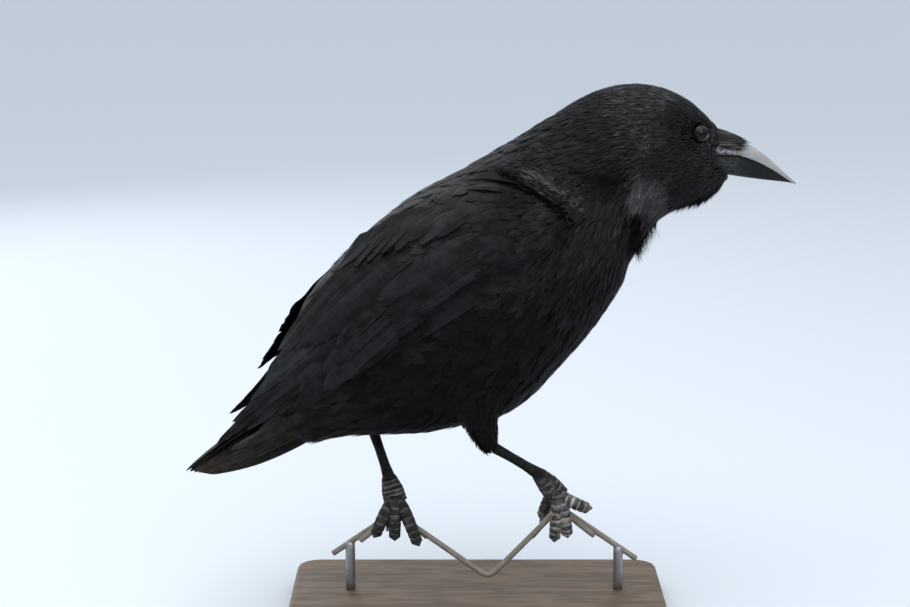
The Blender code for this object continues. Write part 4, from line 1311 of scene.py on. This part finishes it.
# %% Eye balls and lids
def eye_colours(base):
    """Pupil, brown-black iris with fine fibres, dark edge."""
    place_on = base.vane()
    off = place_on.split()[0]
    fibres = place_on.stretched((0.4, 6.0, 6.0)).noise(2.2, 4.0, 0.7)
    iris = fibres.blend((0.004, 0.0030, 0.0024, 1), (0.016, 0.011, 0.008, 1))
    ring = off.between(0.30, 0.36) * (1 - off.between(0.62, 0.74))
    return {"Base Color": ring.blend((0.0035, 0.0034, 0.0035, 1), iris),
            "Roughness": 0.06 + fibres * 0.05}


eye_finish = finish_material("eye", eye_colours, Specular_IOR_Level=0.18)


def lid_colours(base):
    """Bare dark lid with fine creases; its lower front rim has a painted highlight where it
    catches the light.
    """
    crease = base.spot().noise(900.0, 4.0, 0.6)
    pale = base.vane().split()[0]
    dark = crease.blend((0.003, 0.003, 0.003, 1), (0.012, 0.0115, 0.011, 1))
    # A pale colour for the painted highlight on the lower front rim.
    paleness = crease.blend((0.06, 0.058, 0.055, 1), (0.36, 0.35, 0.34, 1))
    return {"Base Color": pale.blend(dark, paleness),
            "Roughness": 0.45 + crease * 0.2,
            "Normal": base.bump(crease, 0.0002, 0.6)}


lid_finish = finish_material("bare lid", lid_colours, Specular_IOR_Level=0.06)


def eye_frame(side):
    """The eye's centre and three directions: out, ahead, up."""
    mirror = np.array((1, side, 1))
    out = EYE_AXIS * mirror
    up = unit(np.array((0, 0, 1.0)) - out * out[2])
    return EYE * mirror, out, np.cross(up, out) * -side, up


for side_name, side in SIDES:
    centre, out, ahead, up = eye_frame(side)
    lean = np.linspace(0.0, math.pi, 33)[1:-1]
    turn = np.linspace(0, 2 * math.pi, 49)[:-1]
    bulge = 1 + 0.05 * np.exp(-(lean / 0.55) ** 2)
    verts, faces = loft(centre + EYE_RADIUS * 0.985 * (
        (np.cos(lean) * bulge)[:, None, None] * out
        + np.sin(lean)[:, None, None] * spokes(turn, ahead, up)))
    marks = np.stack(np.broadcast_arrays(
        (lean / 1.6)[:, None], np.cos(turn)[None], np.sin(turn)[None]), axis=2)
    marks = np.concatenate([marks.reshape(-1, 3), [[0, 0, 0], [2, 0, 0]]])
    ball = plain_mesh("eyeball_" + side_name, verts, faces, eye_finish, marks)
    place(ball, "eye", "eye_" + side_name)

    around = np.linspace(0, 2 * math.pi, 73)[:-1]
    tube_turn = np.linspace(0, 2 * math.pi, 13)[:-1]
    sheets = []
    for fold, (major, thick, depth) in enumerate(((3.75, 0.26, 4.60), (4.20, 0.34, 4.25))):
        wide = major * (1 + 0.05 * np.cos(2 * around)) * MM
        wave = 1 + 0.10 * np.sin(around * 23 + fold) * (fold == 1)
        radial = spokes(around, ahead, up)[:, None]
        sheets.append(centre + radial * wide[:, None, None] + out * depth * MM
                      + spokes(tube_turn, radial, out) * (thick * MM * wave)[:, None, None])
    size_ring = len(around) * len(tube_turn)
    verts = np.concatenate([s.reshape(-1, 3) for s in sheets])
    fold, a, b = (i.ravel() for i in np.indices((2, len(around), len(tube_turn))))
    c, d = (a + 1) % len(around), (b + 1) % len(tube_turn)
    faces = np.stack([fold * size_ring + i * len(tube_turn) + j
                      for i, j in ((a, b), (c, b), (c, d), (a, d))], axis=1).tolist()
    # front_low marks the lower front of each lid ring, which gets the painted highlight, weaker
    # on the outer ring.
    front_low = np.clip((0.55 * np.cos(around) - 0.83 * np.sin(around) - 0.35) / 0.4, 0, 1)
    marks = np.zeros((len(verts), 3))
    marks[:, 0] = np.tile(np.repeat(front_low, len(tube_turn)), 2)
    marks[size_ring:, 0] *= 0.8
    lid = plain_mesh("lid_" + side_name, verts, faces, lid_finish, marks)
    place(lid, "feather")
print("eyes and lids made")

# %% [markdown]
# ## Shanks, toes and claws
# The bare leg is wrapped in horny plates. On the toes and the instep they are wide bands,
# each a little proud of the next, with a pale worn rim; on the shank they are long and
# nearly smooth. A limb is a tube whose radius steps down at each plate, and the place
# within the plate is stored so that the finish can find its rim.

# %% A limb wrapped in plates
def resample(path, count):
    """Evenly spaced points on an eased curve."""
    fine = eased(np.array(path, float), np.linspace(0, len(path) - 1, 400))
    reach = np.concatenate([[0], np.cumsum(np.linalg.norm(np.diff(fine, axis=0), axis=1))])
    at = np.linspace(0, reach[-1], count)
    return np.stack([np.interp(at, reach, fine[:, k]) for k in range(3)], axis=1)


PHASES = (0.0, 0.25, 0.5, 0.72, 0.88, 0.97)
LIMB_SIDES = 24


def plated_limb(name, path, radii, plates, material, step, up, flat=1.0, toe_pads=False):
    """A tube with banded plates on top and small pads underneath."""
    at = np.array([(k + p) / plates for k in range(plates) for p in PHASES] + [1.0])
    phase = np.array([*PHASES * plates, 1.0])
    line = resample(path, 200)
    line = np.stack([np.interp(at, np.linspace(0, 1, 200), line[:, k]) for k in range(3)], 1)
    radius = np.interp(at, np.linspace(0, 1, len(radii)), radii)
    ahead = unit(np.gradient(line, axis=0))
    side = unit(np.cross(np.tile(np.array(up, float), (len(line), 1)), ahead))
    above = np.cross(ahead, side)
    turn = np.linspace(0, 2 * math.pi, LIMB_SIDES, endpoint=False)
    on_top = np.clip(np.sin(turn) + 0.45, 0, 1)
    belly = np.clip(-np.sin(turn) - 0.2, 0, 1)
    swell = 1 + step * (np.sin(phase * math.pi * 0.72) - 0.35)[:, None] * on_top
    swell -= step * 0.9 * (phase > 0.93)[:, None] * on_top
    if toe_pads:
        lumps = np.abs(np.sin(at * math.pi * plates * 0.5)) ** 0.6
        swell = swell + (0.16 * lumps[:, None] - 0.04) * belly
    offset = spokes(turn, side[:, None] * flat, above[:, None])
    rings = line[:, None] + offset * (radius[:, None] * swell)[..., None]
    bow = 0.34 * (on_top ** 2)[None] * radius[:, None] * np.sin(at * math.pi)[:, None] ** 0.5
    rings = rings + ahead[:, None] * bow[..., None]
    dome = rings[-1:] * 0.62 + line[-1:, None] * 0.38 + ahead[-1] * radius[-1] * 0.45
    cap = rings[-1:] * 0.25 + line[-1:, None] * 0.75 + ahead[-1] * radius[-1] * 0.7
    start = rings[:1] * 0.6 + line[:1, None] * 0.4 - ahead[0] * radius[0] * 0.5
    rings = np.concatenate([start, rings, dome, cap])
    verts, faces = loft(rings)
    phase = np.concatenate([[0.3], phase, [0.3, 0.3]])
    marks = np.stack(np.broadcast_arrays(phase[:, None], on_top[None],
                                         np.concatenate([[0], at, [1, 1]])[:, None]), 2)
    marks = np.concatenate([marks.reshape(-1, 3), [[0.3, 1, 0], [0.3, 1, 1]]])
    return plain_mesh(name, verts, faces, material, marks)


def plated_skin(rim_strength, pale, dark, paleness):
    """Horny plates: dark grey-brown middles, chalky rims, fine cracks, and painted shade towards
    the start of each limb.
    """
    def build(base):
        phase, top, reach = base.vane().split()
        # shown darkens each limb towards its start: painted shade in the crease where it leaves
        # the foot or the feathers.
        shown = reach.between(-0.10, 0.55)
        spot = base.spot()
        grit = spot.noise(520.0, 4.0, 0.65)
        patches = spot.noise(150.0, 3.0)
        wobble = spot.noise(260.0, 2.0) * 0.60 - 0.30
        edge = (phase + wobble).between(0.66, 0.92) + (wobble * 2.4 + 0.55 - phase).between(
            0.28, 0.62) * 0.35
        rim = edge * top * (0.25 + patches * 1.15) * rim_strength
        wear = ((patches - 0.42) * 2.2).clamped() * paleness
        value = (rim + wear * 0.8 + (grit - 0.5) * 0.35).clamped() * shown
        crack = spot.node("TexVoronoi", {"Vector": spot, "Scale": 620.0}, out="Distance",
                          feature="DISTANCE_TO_EDGE").between(0.0, 0.10)
        return {"Base Color": value.blend(dark, pale),
                "Roughness": 0.50 + grit * 0.3,
                "Normal": base.bump(grit * 0.5 + crack * 0.5, 0.0003, 0.55)}
    return build


PLATES = {
    # name: (strength of the rims, pale, dark, wear in the middles, gloss)
    "toe plates": (1.0, (0.50, 0.44, 0.39, 1), (0.019, 0.018, 0.018, 1), 0.75, 0.3),
    "instep plates": (1.0, (0.27, 0.24, 0.215, 1), (0.010, 0.0095, 0.009, 1), 0.50, 0.25),
    "shaded toe plates": (1.0, (0.145, 0.129, 0.115, 1), (0.009, 0.0085, 0.008, 1), 0.50, 0.25),
    "shank plates": (0.10, (0.085, 0.078, 0.072, 1), (0.0052, 0.005, 0.005, 1), 0.2, 0.16),
}
toe_finish, instep_finish, shade_finish, shank_finish = (
    finish_material(name, plated_skin(*look), Specular_IOR_Level=gloss)
    for name, (*look, gloss) in PLATES.items())


def claw_colours(base):
    """Dark horn with a length-wise sheen."""
    grain = base.spot().stretched((1, 1, 0.3)).noise(600.0, 3.0)
    return {"Base Color": grain.blend((0.020, 0.019, 0.018, 1), (0.17, 0.155, 0.14, 1)),
            "Roughness": 0.3 + grain * 0.2, "Normal": base.bump(grain, 0.0002, 0.4)}


claw_finish = finish_material("claw horn", claw_colours)
print("leg finishes ready")

# %% Both legs
LEGS = {
    "right": {"ankle": (8.0, -29.0, 127.0), "instep": (43.5, -3.5, 98.5),
              "pad": (56.0, 0.0, 82.2),
              "toes": {"inner": (19.5, 5.5), "middle": (6, 24), "outer": (-2.6, 27)},
              "hallux": (-10.5, 17)},
    "left": {"ankle": (-74.5, 24.0, 127.0), "instep": (-61.0, 3.0, 93.0),
             "pad": (-57.0, 0.0, 78.6),
             "toes": {"inner": (-13.5, 20.5), "middle": (-0.5, 22.5),
                      "outer": (15, 26.5)},
             "hallux": (-5.5, 19)},
}


def claw_piece(name, tip, along, forward):
    """A curved tapering claw from the end of a toe."""
    root = tip - forward * 0.9
    bow = tip + along * 3.2 - forward * 3.6
    point = tip + along * 1.6 - forward * 10.0
    line = resample([root, bow, point], 22)
    ahead = unit(np.gradient(line, axis=0))
    side = unit(np.cross(ahead, np.tile(forward, (22, 1)) + 1e-6))
    over = np.cross(side, ahead)
    turn = np.linspace(0, 2 * math.pi, 14, endpoint=False)
    radius = np.interp(np.linspace(0, 1, 22), (0, 0.3, 0.8, 1), (1.75, 1.5, 0.8, 0.25))
    offset = spokes(turn, side[:, None] * 0.85, over[:, None] * 1.1)
    verts, faces = loft((line[:, None] + radius[:, None, None] * offset) * MM)
    return plain_mesh(name, verts, faces, claw_finish)


for side_name, leg in LEGS.items():
    ankle, instep, pad = (np.array(leg[k], float) for k in ("ankle", "instep", "pad"))
    down = unit(instep - ankle)
    start = ankle + down * 5.5
    limb = plated_limb("shank_" + side_name,
                       np.array([start, (start + instep) / 2 + (0, 0, 0.4), instep]) * MM,
                       np.array((3.7, 3.25, 3.4, 4.6)) * MM, 8, shank_finish, 0.03,
                       (0, -1, 0.3))
    place(limb, "leg", "tarsus_" + side_name)
    foot = plated_limb("instep_" + side_name,
                       np.array([instep - down * 3.0, instep * 0.4 + pad * 0.6, pad]) * MM,
                       np.array((3.7, 5.7, 6.1)) * MM, 6, instep_finish, 0.11,
                       (0, -1, 0.5), flat=1.32)
    place(foot, "leg", "foot_" + side_name)
    toes = dict(leg["toes"], hallux=leg["hallux"])
    for toe, (travel, fall) in toes.items():
        forward = np.array((0, 1.0 if toe == "hallux" else -1.0, 0))
        spread, sink = np.array((travel, 0, 0)), np.array((0, 0, -fall))
        path = [pad + forward * 2.5 + spread * 0.08 + (0, 0, 0.4),
                pad + forward * 5.2 + spread * 0.16 + (0, 0, 0.6),
                pad + forward * 9.0 + spread * 0.42 + sink * 0.16,
                pad + forward * 10.8 + spread * 0.74 + sink * 0.58,
                pad + forward * 9.4 + spread + sink]
        digit = plated_limb(f"toe_{toe}_{side_name}_plates", np.array(path) * MM,
                            np.array((4.5, 4.35, 4.15, 3.8)) * MM,
                            6 if toe == "inner" else 7,
                            shade_finish if side_name == "left" else toe_finish, 0.15,
                            forward, toe_pads=True)
        place(digit, "leg", f"toe_{toe}_{side_name}")
        along = unit(path[-1] - path[-2])
        claw = claw_piece(f"claw_{toe}_{side_name}_horn", path[-1], along, forward)
        place(claw, "claw", f"claw_{toe}_{side_name}")
print("legs made:", ", ".join(LEGS))

# %% [markdown]
# ## Perch wire and stand
# The perch is four-millimetre galvanised wire, bent into two peaks with its ends doubled
# back. Weather has dulled the zinc to a mottled pale grey. Two steel rods and a plain
# wooden base hold it up.

# %% Wire, rods and base
BEND_STEPS, WIRE_SIDES, ROD_SIDES = 12, 20, 28


def round_corners(points, bend):
    """Straight runs with a smooth bend at each inner corner."""
    points = [np.array(p, float) for p in points]
    path = [points[0]]
    for before, corner, after in zip(points, points[1:], points[2:]):
        into, out = unit(before - corner) * bend, unit(after - corner) * bend
        for t in np.arange(BEND_STEPS + 1) / BEND_STEPS:
            path.append(corner + into * (1 - t) ** 2 + out * t ** 2)
    return path + [points[-1]]


def round_bar(name, path, radius, material, sides=WIRE_SIDES):
    """A round bar along a path, with eased ends."""
    line = [path[0]]
    for a, b in zip(path, path[1:]):
        runs = max(1, int(np.linalg.norm(b - a) / 0.004))
        line += [a + (b - a) * (k + 1) / runs for k in range(runs)]
    line = np.array(line)
    ahead = unit(np.gradient(line, axis=0))
    first = np.array((0, 1.0, 0)) if abs(ahead[0, 1]) < 0.9 else np.array((1.0, 0, 0))
    side = unit(np.cross(ahead, first))
    over = np.cross(side, ahead)
    turn = np.linspace(0, 2 * math.pi, sides, endpoint=False)
    ring = spokes(turn, side[:, None], over[:, None]) * radius
    ease, shrink = 0.0003, 0.8
    verts, faces = loft(np.concatenate([
        line[:1, None] + ring[:1] * shrink - ahead[0] * ease, line[:, None] + ring,
        line[-1:, None] + ring[-1:] * shrink + ahead[-1] * ease]))
    return plain_mesh(name, verts, faces, material)


def zinc(base):
    """Dull galvanised wire: mottled pale grey, darker specks and brown dirt, a spangle only in
    the roughness.
    """
    spot = base.spot()
    spangle = spot.node("TexVoronoi", {"Vector": spot, "Scale": 330.0}, out="Color")
    mottle, specks = spot.noise(120.0, 4.0), spot.noise(850.0, 3.0, 0.6)
    shade = (mottle * 0.9 + specks * 0.35 - 0.12).clamped()
    tone = shade.blend((0.130, 0.113, 0.093, 1), (0.36, 0.315, 0.255, 1))
    dirt = mottle.between(0.60, 0.74) * 0.5
    return {"Base Color": dirt.blend(tone, (0.13, 0.10, 0.075, 1)),
            "Roughness": 0.48 + specks * 0.25 + spangle * 0.06,
            "Normal": base.bump(specks, 0.0002, 0.5)}


def steel(base):
    """Brushed steel rod."""
    lines = base.spot().stretched((1, 1, 30)).noise(60.0, 3.0)
    return {"Base Color": lines.blend((0.22, 0.22, 0.23, 1), (0.42, 0.42, 0.43, 1)),
            "Roughness": 0.30 + lines * 0.2, "Normal": base.bump(lines, 0.0001, 0.3)}


def oiled_wood(base):
    """Dark oiled wood with long grain and small pores."""
    spot = base.spot()
    warp = spot.stretched((2.0, 16.0, 16.0)).noise(6.0, 4.0, 0.6)
    pores = spot.stretched((30, 420, 420)).noise(1.0, 3.0)
    rings = (warp * 26.0).apply("SINE") * 0.5 + 0.5
    value = (rings * 0.55 + pores * 0.5 - 0.05).clamped()
    return {"Base Color": value.blend((0.050, 0.030, 0.018, 1), (0.165, 0.105, 0.062, 1)),
            "Roughness": 0.42 + pores * 0.2,
            "Normal": base.bump(pores * 0.6 + rings * 0.4, 0.0003, 0.45)}


zinc_finish = finish_material("dull zinc", zinc, Metallic=0.35, Specular_IOR_Level=0.5)
steel_finish = finish_material("brushed steel", steel, Metallic=1.0)
wood_finish = finish_material("oiled wood", oiled_wood, Specular_IOR_Level=0.5)

PEAKS = {"rear": (-57.0, 70.5), "front": (56.5, 74.2)}
OUTER = {"rear": (-101.0, 40.0), "front": (111.0, 36.2)}
VALLEY = (8.0, 23.5)
WIRE_BEND, WIRE_RADIUS = 0.0075, 0.002


def part_way(start, end, length):
    """The point a length along the line from start to end."""
    start, end = np.array(start, float), np.array(end, float)
    return tuple(start + unit(end - start) * length)


ends = {k: np.array(part_way(PEAKS[k], OUTER[k], 30.0)) - (0, 2.6) for k in PEAKS}
backs = {k: np.array(part_way(PEAKS[k], VALLEY, 27.0)) - (0, 2.6) for k in PEAKS}
WIRES = {
    "perch_wire_middle": ([ends["rear"], PEAKS["rear"], VALLEY, PEAKS["front"],
                           ends["front"]], -2.2),
    "perch_wire_rear": ([OUTER["rear"], PEAKS["rear"], backs["rear"]], 2.2),
    "perch_wire_front": ([OUTER["front"], PEAKS["front"], backs["front"]], 2.2),
}
for name, (flat, offset) in WIRES.items():
    path = round_corners([(x * MM, offset * MM, z * MM) for x, z in flat], WIRE_BEND)
    bar = round_bar(name.replace("perch_", "galvanised_"), path, WIRE_RADIUS, zinc_finish)
    place(bar, "wire", name)
for name in ("stand_rod_front", "stand_rod_rear"):
    low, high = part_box(name)
    middle = (low + high) / 2
    foot_and_top = [np.array((middle.x, middle.y, z)) for z in (low.z, high.z)]
    rod = round_bar(name + "_steel", foot_and_top, (high.x - low.x) / 2, steel_finish,
                    ROD_SIDES)
    place(rod, "rod", name)
base_node = frame["nodes"]["stand_base"]
base_node.data.materials.clear()
base_node.data.materials.append(wood_finish)
print("wires, rods and base finished")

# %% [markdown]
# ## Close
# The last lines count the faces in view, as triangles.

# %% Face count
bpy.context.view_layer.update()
total = sum(len(o.data.polygons) * 2 for o in bpy.data.objects
            if o.type == "MESH" and o.visible_get())
print("faces in view, as triangles:", total)
